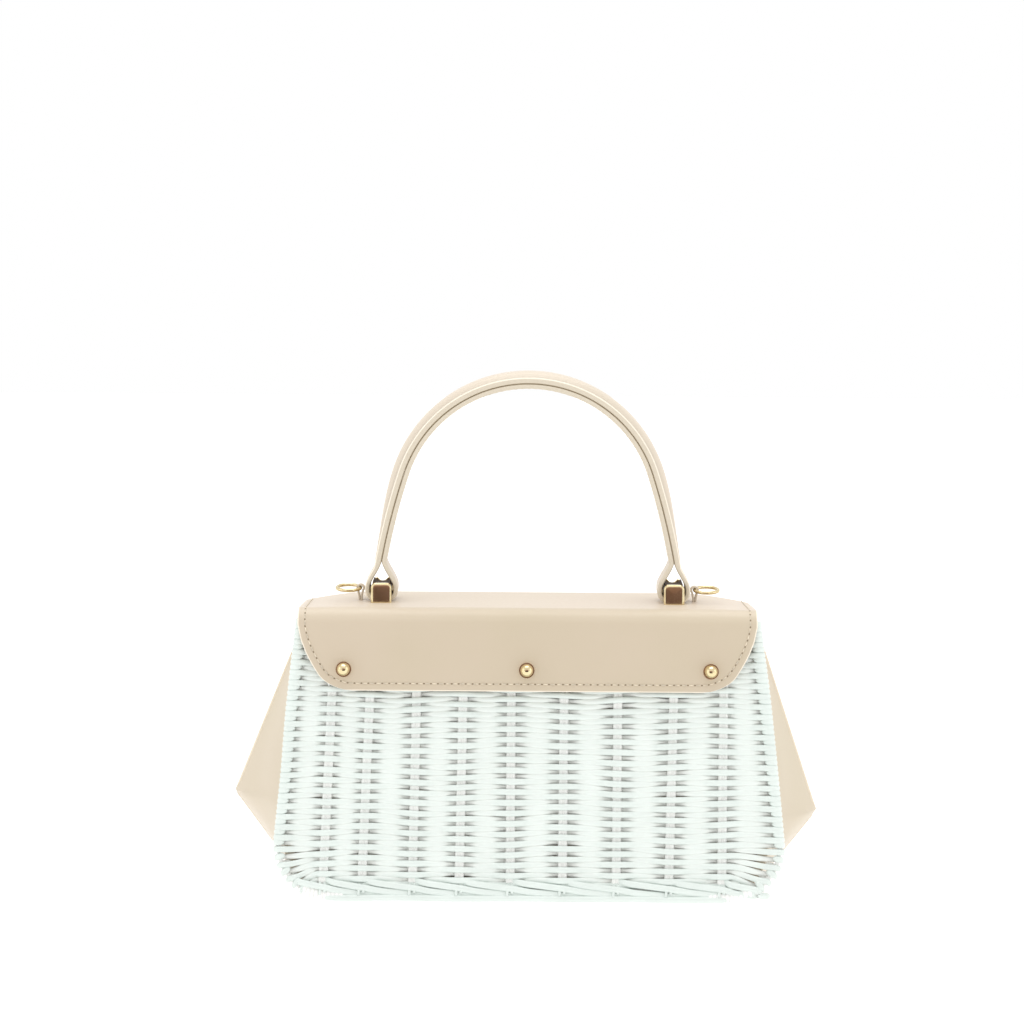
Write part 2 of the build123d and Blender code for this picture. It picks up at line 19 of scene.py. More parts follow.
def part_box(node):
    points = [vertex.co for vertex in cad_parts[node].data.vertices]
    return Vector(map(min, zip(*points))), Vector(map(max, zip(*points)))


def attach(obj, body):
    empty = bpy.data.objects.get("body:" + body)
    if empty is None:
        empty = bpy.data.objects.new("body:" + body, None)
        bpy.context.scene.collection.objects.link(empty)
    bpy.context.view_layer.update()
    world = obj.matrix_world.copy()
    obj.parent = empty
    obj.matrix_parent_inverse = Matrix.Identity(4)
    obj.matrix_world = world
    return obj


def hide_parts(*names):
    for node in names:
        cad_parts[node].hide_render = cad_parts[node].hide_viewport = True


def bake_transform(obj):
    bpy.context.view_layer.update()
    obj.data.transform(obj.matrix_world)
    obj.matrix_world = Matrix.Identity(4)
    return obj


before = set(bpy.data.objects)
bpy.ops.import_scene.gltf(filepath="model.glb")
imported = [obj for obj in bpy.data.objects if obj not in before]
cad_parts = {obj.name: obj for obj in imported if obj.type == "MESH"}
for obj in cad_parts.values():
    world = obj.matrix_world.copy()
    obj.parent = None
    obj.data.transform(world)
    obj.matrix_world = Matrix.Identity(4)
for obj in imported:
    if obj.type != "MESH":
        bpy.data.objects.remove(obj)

LOG = logging.getLogger("bag")
MM = 0.001  # metres in a millimetre
TINY = 1e-12  # keeps a division from meeting 0
OUTWARDS = (0.0, 0.0, 1.0)  # off a panel, in its own places
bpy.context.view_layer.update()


class Body(Enum):
    """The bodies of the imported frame."""

    BASKET = "basket"
    FLAP = "flap"
    RING_LEFT = "ring_left"
    RING_RIGHT = "ring_right"


class Slot(Enum):
    """Names of the record's material slots."""

    CANE = "white_cane"
    LEATHER = "beige_leather"
    GUSSET = "gusset_leather"
    FLAP_LINING = "flap_lining_leather"
    COTTON = "cotton_lining"
    BRASS = "polished_brass"


class Grain(Enum):
    """Which way the fibres of a cane run, as the stretch of its streaks along X, Y and Z."""

    ALONG = (0.04, 1.0, 1.0)
    UPRIGHT = (1.0, 1.0, 0.04)


class Hand(Enum):
    """The two ends of the bag, seen from its back."""

    LEFT = -1
    RIGHT = 1


# ---------------------------------------------------------------- arrays and meshes
def smooth(t: np.ndarray) -> np.ndarray:
    """Eases from 0 to 1: 3t^2 - 2t^3, with t held between 0 and 1."""
    held = np.clip(t, 0.0, 1.0)
    return held * held * (3.0 - 2.0 * held)


def unit(vectors: np.ndarray) -> np.ndarray:
    """Each vector divided by its length."""
    return vectors / np.maximum(np.linalg.norm(vectors, axis=-1, keepdims=True), TINY)


def resample(path: np.ndarray, count: int) -> np.ndarray:
    """Spaces points evenly along a path.

    Args:
        path: The points of the path, one a row.
        count: How many points are wanted.

    Returns:
        The new points, read off the path at equal steps of its length.
    """
    steps = np.linalg.norm(np.diff(path, axis=0), axis=1)
    along = np.concatenate([[0.0], np.cumsum(steps)])
    even = np.linspace(0.0, along[-1], count)
    return np.stack([np.interp(even, along, axis) for axis in path.T], axis=1)


def spline(points: list, count: int) -> np.ndarray:
    """Draws a smooth curve through a few points.

    Between two points b and c, with neighbours a and d, the curve is
    (2b + (c-a)t + (2a-5b+4c-d)t^2 + (3b-a-3c+d)t^3) / 2.

    Args:
        points: The points, in two or three dimensions.
        count: How many points the curve gets.

    Returns:
        The curve's points, evenly spaced.
    """
    knots = np.asarray(points, float)
    held = np.vstack([2 * knots[0] - knots[1], knots, 2 * knots[-1] - knots[-2]])
    fine_steps = 40 * len(knots)
    steps = np.linspace(0.0, len(knots) - 1.0, fine_steps)
    start = np.minimum(steps.astype(int), len(knots) - 2)
    t = (steps - start)[:, None]
    a, b, c, d = held[start], held[start + 1], held[start + 2], held[start + 3]
    fine = (2 * b + (c - a) * t + (2 * a - 5 * b + 4 * c - d) * t**2 + (3 * b - a - 3 * c + d) * t**3) / 2
    return resample(fine, count)


def grid_faces(rows: int, columns: int, ring: bool = False) -> np.ndarray:
    """Joins a grid of points into four-cornered faces.

    Args:
        rows: How many rows the grid has.
        columns: How many points a row has.
        ring: Whether the last column joins the first.

    Returns:
        The faces' corner numbers, four a row.
    """
    row, column = np.meshgrid(np.arange(rows - 1), np.arange(columns if ring else columns - 1), indexing="ij")
    after = (column + 1) % columns
    here, above = row * columns, (row + 1) * columns
    corners = (here + column, here + after, above + after, above + column)
    return np.stack(corners, axis=-1).reshape(-1, 4)


def tube(path: np.ndarray, half_sizes: np.ndarray, up: tuple | np.ndarray, sides: int) -> np.ndarray:
    """Carries an ellipse along one path or several.

    With t along the path, across = up x t and rise = t x across, a ring is
    path + a cos(angle) across + b sin(angle) rise.

    Args:
        path: Points of the paths, in the last two axes.
        half_sizes: Half sizes a and b at each point, in the last axis.
        up: A direction that the paths never follow, for all points or for each.
        sides: Points of a ring.

    Returns:
        The rings' points: the paths' shape with an axis for the ring before the last.
    """
    t = unit(np.gradient(path, axis=-2))
    across = unit(np.cross(np.broadcast_to(np.asarray(up, float), t.shape), t))
    rise = np.cross(t, across)
    angle = np.arange(sides) * 2 * pi / sides
    a, b = half_sizes[..., 0, None, None], half_sizes[..., 1, None, None]
    ring = a * np.cos(angle)[:, None] * across[..., None, :] + b * np.sin(angle)[:, None] * rise[..., None, :]
    return path[..., None, :] + ring


def carry(line: np.ndarray, section: np.ndarray) -> np.ndarray:
    """Carries a section along a line in the XZ plane.

    With t along the line, a point is line + n (-tz, tx), and its y is the section's own.

    Args:
        line: Points in x and z.
        section: The section's y and n in the last axis, once for all points or for each.

    Returns:
        The rings.
    """
    t = unit(np.gradient(line, axis=0))
    x = line[:, None, 0] - t[:, None, 1] * section[..., 1]
    z = line[:, None, 1] + t[:, None, 0] * section[..., 1]
    return np.stack([x, np.broadcast_to(section[..., 0], x.shape), z], axis=-1)


def closed_ends(count: int, tip: int = 3) -> np.ndarray:
    """How full each ring of a tube is, so that both ends close in a round tip.

    The first rings follow a quarter circle, sqrt(1 - (1 - i/tip)^2) but never under 0.02, and
    the last mirror them.

    Args:
        count: Rings of the tube.
        tip: Rings in each tip.

    Returns:
        A factor from nearly 0 to 1 for each ring.
    """
    place = np.minimum(np.arange(count), np.arange(count)[::-1])
    share = np.clip(1.0 - place / tip, 0.0, 1.0)
    least = 0.0004
    return np.sqrt(np.maximum(1.0 - share**2, least))


class Shell:
    """Points and faces of one piece, gathered from its parts."""

    def __init__(self) -> None:
        """Starts an empty shell."""
        self.points: list = []
        self.faces: list = []
        self.finishes: list = []
        self.sunk: list = []
        self.count = 0

    def add(
        self, points: np.ndarray, faces: np.ndarray, finish: int = 0, sunk: np.ndarray | None = None
    ) -> None:
        """Adds a part.

        Args:
            points: The part's points in millimetres, in any shape that ends in an axis of three.
            faces: Its faces, as numbers of its own points.
            finish: The material slot number of its faces.
            sunk: How far each point lies below the surface, from 0 to 1.
        """
        flat = points.reshape(-1, 3)
        self.points.append(flat)
        self.faces.extend((np.asarray(faces) + self.count).tolist())
        self.finishes.extend([finish] * len(faces))
        self.sunk.append(np.zeros(len(flat)) if sunk is None else sunk.reshape(-1))
        self.count += len(flat)

    def add_tubes(self, rings: np.ndarray, finish: int = 0, sunk: np.ndarray | None = None) -> None:
        """Adds closed tubes, given their rings.

        Args:
            rings: Points with axes for the tube (if there are several), ring, side and coordinate.
            finish: The material slot number of their faces.
            sunk: How far each point lies below the surface, from 0 to 1.
        """
        several = rings.reshape(-1, *rings.shape[-3:])
        tubes, count, sides = several.shape[:3]
        first = (np.arange(tubes) * count * sides)[:, None, None]
        walls = (grid_faces(count, sides, ring=True)[None] + first).reshape(-1, 4)
        self.add(several, walls, finish, sunk)
        base = self.count - tubes * count * sides
        lower = (first[:, 0] + np.arange(sides)[::-1] + base).tolist()
        upper = (first[:, 0] + (count - 1) * sides + np.arange(sides) + base).tolist()
        self.faces.extend(lower + upper)
        self.finishes.extend([finish] * (2 * tubes))

    def piece(self, name: str, materials: list, closed: bool = True) -> bpy.types.Object:
        """Makes the Blender object.

        Args:
            name: The piece's name.
            materials: Its materials, in the order of the slot numbers.
            closed: Whether its parts are closed, so that their faces can be turned outwards.

        Returns:
            The object, at the origin, with its place in its mesh.
        """
        mesh = bpy.data.meshes.new(name)
        mesh.from_pydata((np.concatenate(self.points) * MM).tolist(), [], self.faces)
        mesh.polygons.foreach_set("material_index", np.asarray(self.finishes, np.int32))
        depth = mesh.attributes.new("sunk", "FLOAT", "POINT")
        depth.data.foreach_set("value", np.concatenate(self.sunk).astype(np.float32))
        for material in materials:
            mesh.materials.append(material)
        if closed:
            work = bmesh.new()
            work.from_mesh(mesh)
            bmesh.ops.recalc_face_normals(work, faces=work.faces)
            work.to_mesh(mesh)
            work.free()
        mesh.shade_smooth()
        made = bpy.data.objects.new(name, mesh)
        bpy.context.scene.collection.objects.link(made)
        return made


def settle(piece: bpy.types.Object) -> None:
    """Applies a piece's modifiers to its mesh.

    Args:
        piece: The piece, which keeps its name.
    """
    graph = bpy.context.evaluated_depsgraph_get()
    final = bpy.data.meshes.new_from_object(
        piece.evaluated_get(graph), preserve_all_data_layers=True, depsgraph=graph
    )
    piece.modifiers.clear()
    old = piece.data
    piece.data = final
    bpy.data.meshes.remove(old)
    final.name = piece.name


def thicken(piece: bpy.types.Object, thickness: float, rim: float, rim_finish: int = 0) -> None:
    """Gives an open sheet a wall on its inner side and a rounded rim.

    Args:
        piece: The sheet, with its faces outwards.
        thickness: Of the wall, in millimetres.
        rim: Rounding of the rim's edges, in millimetres.
        rim_finish: How many slots after a face's own its rim's material is.
    """
    wall = piece.modifiers.new("wall", "SOLIDIFY")
    wall.thickness = thickness * MM
    wall.offset = -1.0
    wall.use_even_offset = True
    wall.material_offset_rim = rim_finish
    edge = piece.modifiers.new("rim", "BEVEL")
    edge.width = rim * MM
    edge.segments = 2
    edge.limit_method = "ANGLE"
    edge.angle_limit = radians(50)
    settle(piece)


# ---------------------------------------------------------------- finishes
def linear_rgba(code: str, share: float | None = None) -> tuple:
    """Turns an sRGB hex colour into linear red, green, blue and alpha.

    Each channel c is c/12.92 up to 0.04045, and ((c + 0.055)/1.055)^2.4 above it.

    Args:
        code: Six hex digits.
        share: How much of the light is left, where the colour is darkened.

    Returns:
        The four channels, alpha 1.
    """
    channels = [int(code[i : i + 2], 16) / 255 for i in (0, 2, 4)]
    linear = [c / 12.92 if c <= 0.04045 else ((c + 0.055) / 1.055) ** 2.4 for c in channels]
    return (*(linear if share is None else [share * c for c in linear]), 1.0)


def wire(tree: bpy.types.NodeTree, node: bpy.types.Node, inputs: dict) -> None:
    """Sets and links a node's input sockets.

    Args:
        tree: The node tree.
        node: The node.
        inputs: Socket name or number to a value, or to the output socket that feeds it.
    """
    for key, value in inputs.items():
        if isinstance(value, bpy.types.NodeSocket):
            tree.links.new(value, node.inputs[key])
        else:
            node.inputs[key].default_value = value


def add_node(
    tree: bpy.types.NodeTree, kind: str, inputs: dict | None = None, **settings: object
) -> bpy.types.Node:
    """Adds a node with its settings and links.

    Args:
        tree: The node tree.
        kind: The node's type name.
        inputs: Socket name or number to a value, or to the output socket that feeds it.
        settings: The node's own properties.

    Returns:
        The node.
    """
    node = tree.nodes.new(kind)
    for name, value in settings.items():
        setattr(node, name, value)
    wire(tree, node, inputs or {})
    return node


def new_material(name: str) -> tuple:
    """Starts a material.

    Args:
        name: Its name.

    Returns:
        The material, its node tree, its surface shader and the output of the object's own place.
    """
    material = bpy.data.materials.new(name)
    material.use_nodes = True
    tree = material.node_tree
    place = add_node(tree, "ShaderNodeTexCoord").outputs["Object"]
    return material, tree, tree.nodes["Principled BSDF"], place


BANDS_PER_SCALE = 20.0  # a wave texture's own factor between its scale and its bands


def per_metre(size: float) -> float:
    """Scale of a texture whose features are this many millimetres across."""
    return 1.0 / (size * MM)


@dataclass(frozen=True)
class LacqueredCane:
    """Willow cane under white sprayed lacquer: soft gloss, faint fibre streaks, and painted light deep in the
    weave, whiter there than on the face.
    """

    grain: Grain
    white: str = "E1E9E4"
    shade: str = "DAE2DD"
    deep: str = "F6F7F3"  # painted light: the whiter colour deep in the weave, standing in for light bounced into the gaps
    streak: float = 0.5  # width of a fibre streak, drawn coarser than the real 0.1 mm so that it shows
    mottle: float = 14.0  # patches of thicker and thinner lacquer

    def material(self) -> bpy.types.Material:
        """Builds the node material.

        Returns:
            The material.
        """
        material, tree, shader, place = new_material(f"lacquered_cane_{self.grain.name.lower()}")
        fibre = add_node(tree, "ShaderNodeMapping", {"Vector": place, "Scale": self.grain.value})
        streaks = add_node(
            tree, "ShaderNodeTexNoise",
            {"Vector": fibre.outputs[0], "Scale": per_metre(self.streak), "Detail": 3.0, "Roughness": 0.6},
        )
        patches = add_node(
            tree, "ShaderNodeTexNoise", {"Vector": place, "Scale": per_metre(self.mottle), "Detail": 2.0}
        )
        tone = add_node(
            tree, "ShaderNodeMath", {0: streaks.outputs[0], 1: patches.outputs[0]}, operation="MULTIPLY"
        )
        spread = add_node(
            tree, "ShaderNodeMapRange", {"Value": tone.outputs[0], "From Min": 0.12, "From Max": 0.42}
        )
        paint = add_node(
            tree, "ShaderNodeMix",
            {0: spread.outputs[0], 6: linear_rgba(self.shade), 7: linear_rgba(self.white)}, data_type="RGBA",
        )
        # painted light: the deeper a point lies in the weave, the whiter its colour, standing in for bounced
        # light
        depth = add_node(tree, "ShaderNodeAttribute", attribute_name="sunk")
        reach = add_node(
            tree, "ShaderNodeMapRange",
            {"Value": depth.outputs["Fac"], "From Min": 0.25, "From Max": 0.6},
            interpolation_type="SMOOTHSTEP",
        )
        colour = add_node(
            tree, "ShaderNodeMix",
            {0: reach.outputs[0], 6: paint.outputs[2], 7: linear_rgba(self.deep)}, data_type="RGBA",
        )
        relief = add_node(
            tree, "ShaderNodeBump", {"Height": streaks.outputs[0], "Distance": 0.06 * MM, "Strength": 0.6}
        )
        rough = add_node(
            tree, "ShaderNodeMapRange",
            {"Value": streaks.outputs[0], "From Min": 0.3, "From Max": 0.7, "To Min": 0.3, "To Max": 0.46},
        )
        wire(tree, shader, {
            "Base Color": colour.outputs[2], "Normal": relief.outputs[0], "Roughness": rough.outputs[0],
            "Coat Weight": 0.25, "Coat Roughness": 0.22,
        })
        return material


@dataclass(frozen=True)
class SmoothCalf:
    """Calf leather, plated smooth and pale: an even low gloss, tiny grain, slow changes of tone."""

    name: str
    colour: str
    blush: str  # the warmer tone it drifts to
    grain: float = 0.7  # pore spacing, drawn coarser than the real 0.3 mm so that it shows
    cloud: float = 55.0
    gloss: float = 0.36  # roughness of the plated face
    relief: float = 0.012  # depth of the grain
    bloom: float = 0.3  # waxy lightening towards the outline

    def material(self) -> bpy.types.Material:
        """Builds the node material.

        Returns:
            The material.
        """
        material, tree, shader, place = new_material(self.name)
        clouds = add_node(
            tree, "ShaderNodeTexNoise", {"Vector": place, "Scale": per_metre(self.cloud), "Detail": 3.0}
        )
        drift = add_node(
            tree, "ShaderNodeMapRange", {"Value": clouds.outputs[0], "From Min": 0.35, "From Max": 0.68}
        )
        tint = add_node(
            tree, "ShaderNodeMix",
            {0: drift.outputs[0], 6: linear_rgba(self.colour), 7: linear_rgba(self.blush)}, data_type="RGBA",
        )
        pores = add_node(
            tree, "ShaderNodeTexVoronoi",
            {"Vector": place, "Scale": per_metre(self.grain)}, feature="SMOOTH_F1",
        )
        creases = add_node(
            tree, "ShaderNodeTexNoise", {"Vector": place, "Scale": per_metre(3 * self.grain), "Detail": 4.0}
        )
        height = add_node(
            tree, "ShaderNodeMath", {0: pores.outputs["Distance"], 1: creases.outputs[0]}, operation="ADD"
        )
        relief = add_node(
            tree, "ShaderNodeBump",
            {"Height": height.outputs[0], "Distance": self.relief * MM * 3, "Strength": 0.5},
        )
        rough = add_node(
            tree, "ShaderNodeMapRange",
            {"Value": creases.outputs[0], "From Min": 0.3, "From Max": 0.7,
             "To Min": self.gloss - 0.04, "To Max": self.gloss + 0.08},
        )
        wire(tree, shader, {
            "Base Color": tint.outputs[2], "Normal": relief.outputs[0], "Roughness": rough.outputs[0],
            "Coat Weight": 0.12, "Coat Roughness": 0.3,
            "Sheen Weight": self.bloom, "Sheen Tint": linear_rgba("FFF3E9"), "Sheen Roughness": 0.35,
        })
        return material


@dataclass(frozen=True)
class SplitSuede:
    """Split leather lining with a short nap: matt, with the velvety edge that a nap gives."""

    colour: str = "CDBBA3"
    nap: str = "BBA78D"
    fibre: float = 1.2  # tufts of nap, drawn coarser than the real 0.2 mm so that they show
    stroke: float = 18.0  # patches where the nap was stroked one way

    def material(self) -> bpy.types.Material:
        """Builds the node material.

        Returns:
            The material.
        """
        material, tree, shader, place = new_material("split_suede")
        fluff = add_node(
            tree, "ShaderNodeTexNoise", {"Vector": place, "Scale": per_metre(self.fibre), "Detail": 6.0}
        )
        strokes = add_node(
            tree, "ShaderNodeTexNoise", {"Vector": place, "Scale": per_metre(self.stroke), "Detail": 2.0}
        )
        tone = add_node(
            tree, "ShaderNodeMath", {0: fluff.outputs[0], 1: strokes.outputs[0]}, operation="MULTIPLY"
        )
        spread = add_node(
            tree, "ShaderNodeMapRange", {"Value": tone.outputs[0], "From Min": 0.1, "From Max": 0.45}
        )
        tint = add_node(
            tree, "ShaderNodeMix",
            {0: spread.outputs[0], 6: linear_rgba(self.nap), 7: linear_rgba(self.colour)}, data_type="RGBA",
        )
        relief = add_node(
            tree, "ShaderNodeBump", {"Height": fluff.outputs[0], "Distance": 0.08 * MM, "Strength": 0.5}
        )
        wire(tree, shader, {
            "Base Color": tint.outputs[2], "Normal": relief.outputs[0], "Roughness": 0.88,
            "Sheen Weight": 0.3, "Sheen Roughness": 0.5,
        })
        return material


@dataclass(frozen=True)
class EdgePaint:
    """Burnished and painted leather edge: a little greyer than the face, with a rounded satin skin; its
    whitened copies are painted highlights.
    """

    name: str = "edge_paint"
    colour: str = "DBD1BE"
    streak: str = "CEC2AE"
    lump: float = 1.6  # where the paint gathers

    def material(self) -> bpy.types.Material:
        """Builds the node material.

        Returns:
            The material.
        """
        material, tree, shader, place = new_material(self.name)
        lumps = add_node(
            tree, "ShaderNodeTexNoise", {"Vector": place, "Scale": per_metre(self.lump), "Detail": 4.0}
        )
        tint = add_node(
            tree, "ShaderNodeMix",
            {0: lumps.outputs[0], 6: linear_rgba(self.streak), 7: linear_rgba(self.colour)}, data_type="RGBA",
        )
        relief = add_node(
            tree, "ShaderNodeBump", {"Height": lumps.outputs[0], "Distance": 0.08 * MM, "Strength": 0.5}
        )
        wire(tree, shader, {"Base Color": tint.outputs[2], "Normal": relief.outputs[0], "Roughness": 0.45})
        return material


@dataclass(frozen=True)
class WaxedThread:
    """Bonded polyester sewing thread: twisted plies with a waxy sheen."""

    colour: str = "E6DAC4"
    ply: float = 0.45

    def material(self) -> bpy.types.Material:
        """Builds the node material.

        Returns:
            The material.
        """
        material, tree, shader, place = new_material("waxed_thread")
        twist = add_node(
            tree, "ShaderNodeTexWave",
            {"Vector": place, "Scale": per_metre(self.ply) / BANDS_PER_SCALE, "Distortion": 1.0},
            bands_direction="DIAGONAL",
        )
        relief = add_node(
            tree, "ShaderNodeBump", {"Height": twist.outputs["Fac"], "Distance": 0.05 * MM, "Strength": 0.7}
        )
        tint = add_node(
            tree, "ShaderNodeMix",
            {0: twist.outputs["Fac"], 6: linear_rgba(self.colour, 0.72), 7: linear_rgba(self.colour)},
            data_type="RGBA",
        )
        wire(tree, shader, {"Base Color": tint.outputs[2], "Normal": relief.outputs[0], "Roughness": 0.5})
        return material


@dataclass(frozen=True)
class NeedleHole:
    """Painted shade of an awl hole in leather: a dark brown disc of patchy tone, where the hole's own shadow
    falls.
    """

    colour: str = "9A8970"
    # size of the patches in the painted shade
    shade_mottle: float = 0.4

    def material(self) -> bpy.types.Material:
        """Builds the node material.

        Returns:
            The material.
        """
        material, tree, shader, place = new_material("needle_hole")
        shade_mottle = add_node(tree, "ShaderNodeTexNoise", {"Vector": place, "Scale": per_metre(self.shade_mottle)})
        tint = add_node(
            tree, "ShaderNodeMix",
            {0: shade_mottle.outputs[0], 6: linear_rgba(self.colour, 0.6), 7: linear_rgba(self.colour)},
            data_type="RGBA",
        )
        wire(tree, shader, {"Base Color": tint.outputs[2], "Roughness": 0.9})
        return material


@dataclass(frozen=True)
class GiltBrass:
    """Brass castings, polished and flashed with pale gold: mirror bright, with hairline wiping marks."""

    name: str = "gilt_brass"
    colour: str = "EBDDB8"
    deep: str = "DCC694"
    hairline: float = 0.5  # drawn coarser than the real 0.05 mm so that it shows
    worn: float = 6.0  # places where the gold is thinner
    polish: tuple = (0.06, 0.18)  # roughness of the best and worst places
    metal: float = 1.0  # how metallic it is; low for the bar that is painted dark as shade

    def material(self) -> bpy.types.Material:
        """Builds the node material.

        Returns:
            The material.
        """
        material, tree, shader, place = new_material(self.name)
        wipe = add_node(tree, "ShaderNodeMapping", {"Vector": place, "Scale": (1.0, 0.12, 1.0)})
        marks = add_node(
            tree, "ShaderNodeTexNoise",
            {"Vector": wipe.outputs[0], "Scale": per_metre(self.hairline), "Detail": 5.0, "Roughness": 0.7},
        )
        wear = add_node(
            tree, "ShaderNodeTexNoise", {"Vector": place, "Scale": per_metre(self.worn), "Detail": 2.0}
        )
        tint = add_node(
            tree, "ShaderNodeMix",
            {0: wear.outputs[0], 6: linear_rgba(self.deep), 7: linear_rgba(self.colour)}, data_type="RGBA",
        )
        rough = add_node(
            tree, "ShaderNodeMapRange",
            {"Value": marks.outputs[0], "From Min": 0.35, "From Max": 0.75,
             "To Min": self.polish[0], "To Max": self.polish[1]},
        )
        relief = add_node(
            tree, "ShaderNodeBump", {"Height": marks.outputs[0], "Distance": 0.004 * MM, "Strength": 0.5}
        )
        wire(tree, shader, {
            "Base Color": tint.outputs[2], "Roughness": rough.outputs[0], "Normal": relief.outputs[0],
            "Metallic": self.metal, "Specular IOR Level": 0.5 * self.metal,
        })
        return material


@dataclass(frozen=True)
class NickelledSteel:
    """Pressed steel with a nickel coat: grey, brushed a little by the barrel it was plated in."""

    colour: str = "BDBBB6"
    brushing: float = 0.8  # drawn coarser than the real 0.2 mm so that it shows

    def material(self) -> bpy.types.Material:
        """Builds the node material.

        Returns:
            The material.
        """
        material, tree, shader, place = new_material("nickelled_steel")
        marks = add_node(
            tree, "ShaderNodeTexNoise", {"Vector": place, "Scale": per_metre(self.brushing), "Detail": 6.0}
        )
        rough = add_node(
            tree, "ShaderNodeMapRange", {"Value": marks.outputs[0], "To Min": 0.2, "To Max": 0.42}
        )
        tint = add_node(
            tree, "ShaderNodeMix",
            {0: marks.outputs[0], 6: linear_rgba(self.colour, 0.8), 7: linear_rgba(self.colour)},
            data_type="RGBA",
        )
        wire(tree, shader, {"Base Color": tint.outputs[2], "Roughness": rough.outputs[0], "Metallic": 1.0})
        return material


@dataclass(frozen=True)
class CottonTwill:
    """Dyed cotton twill: slanted ribs, matt, with the soft edge of loose fibres."""

    colour: str = "C9B59B"
    furrow: str = "A48F76"
    rib: float = 0.9  # drawn coarser than the real 0.5 mm so that it shows
    slub: float = 5.0  # thick places in the yarn

    def material(self) -> bpy.types.Material:
        """Builds the node material.

        Returns:
            The material.
        """
        material, tree, shader, place = new_material("cotton_twill")
        ribs = add_node(
            tree, "ShaderNodeTexWave",
            {"Vector": place, "Scale": per_metre(self.rib) / BANDS_PER_SCALE, "Distortion": 0.4},
            bands_direction="DIAGONAL",
        )
        slub = add_node(
            tree, "ShaderNodeTexNoise", {"Vector": place, "Scale": per_metre(self.slub), "Detail": 3.0}
        )
        mixed = add_node(
            tree, "ShaderNodeMath", {0: ribs.outputs["Fac"], 1: slub.outputs[0]}, operation="MULTIPLY"
        )
        tint = add_node(
            tree, "ShaderNodeMix",
            {0: mixed.outputs[0], 6: linear_rgba(self.furrow), 7: linear_rgba(self.colour)}, data_type="RGBA",
        )
        relief = add_node(
            tree, "ShaderNodeBump", {"Height": mixed.outputs[0], "Distance": 0.12 * MM, "Strength": 0.6}
        )
        wire(tree, shader, {
            "Base Color": tint.outputs[2], "Normal": relief.outputs[0],
            "Roughness": 0.92, "Sheen Weight": 0.2,
        })
        return material


class Palette:
    """Every material of the bag, made once."""

    def __init__(self) -> None:
        """Builds the materials."""
        self.cane = LacqueredCane(Grain.ALONG).material()
        # painted light: a whiter copy of the cane that brightens the stakes seen in the shaded gaps; the edge
        # rod, its winding and the liners take it too
        self.cane_upright = LacqueredCane(
            Grain.UPRIGHT, white="F6F6F3", shade="F0F0ED", deep="F9F7F4"
        ).material()
        self.leather = SmoothCalf("smooth_calf", colour="C9BBA3", blush="CCBDA7", bloom=0.85).material()
        self.handle_leather = SmoothCalf("handle_calf", colour="D3C7B5", blush="D5C8B6").material()
        self.gusset_leather = SmoothCalf(
            "gusset_calf", colour="CEC2AC", blush="D0C3AF", gloss=0.42
        ).material()
        self.base_leather = SmoothCalf("base_calf", colour="CFBFA4", blush="D2C0A8", relief=0.03).material()
        self.suede = SplitSuede().material()
        self.edge = EdgePaint().material()
        # painted highlight: edge paint whitened to stand for the light caught on rounded edges, on the flap's
        # edge strip and the handle's lip
        self.painted_highlight_edge = EdgePaint("edge_paint_arris", colour="F5ECDC", streak="EEE3D1").material()
        # painted highlight: a lighter colour down the gusset's pinched fold, for the top light that its edge
        # catches
        self.ridge = EdgePaint("folded_ridge", colour="EDE3D0", streak="E6DAC5").material()
        self.glue_line = EdgePaint("glue_line", colour="C4B69F", streak="B5A78F").material()
        self.thread = WaxedThread().material()
        self.hole = NeedleHole().material()
        self.gilt = GiltBrass().material()
        # painted shade: the bridge's bar sits in the shadow of the strap loops and mirrors their dark
        # undersides, so it gets a dark, barely metallic brass
        self.painted_shade = GiltBrass(
            "antique_brass", colour="6E543B", deep="4A3827", polish=(0.5, 0.7), metal=0.15
        ).material()
        self.nickel = NickelledSteel().material()
        self.twill = CottonTwill().material()


def dress(nodes: list, material: bpy.types.Material) -> None:
    """Gives CAD nodes that stay a material in every slot.

    Args:
        nodes: The nodes' names.
        material: Their material.
    """
    for name in nodes:
        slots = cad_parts[name].data.materials
        slots.clear()
        slots.append(material)


def finish_piece(piece: bpy.types.Object, body: Body, replaced: list) -> None:
    """Puts a piece on its body and hides the nodes that it stands for.

    Args:
        piece: The finished piece.
        body: The body that it rides on.
        replaced: The CAD nodes that it replaces.
    """
    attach(piece, body.value)
    if replaced:
        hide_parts(*replaced)
    LOG.info("%s: %d faces", piece.name, len(piece.data.polygons))


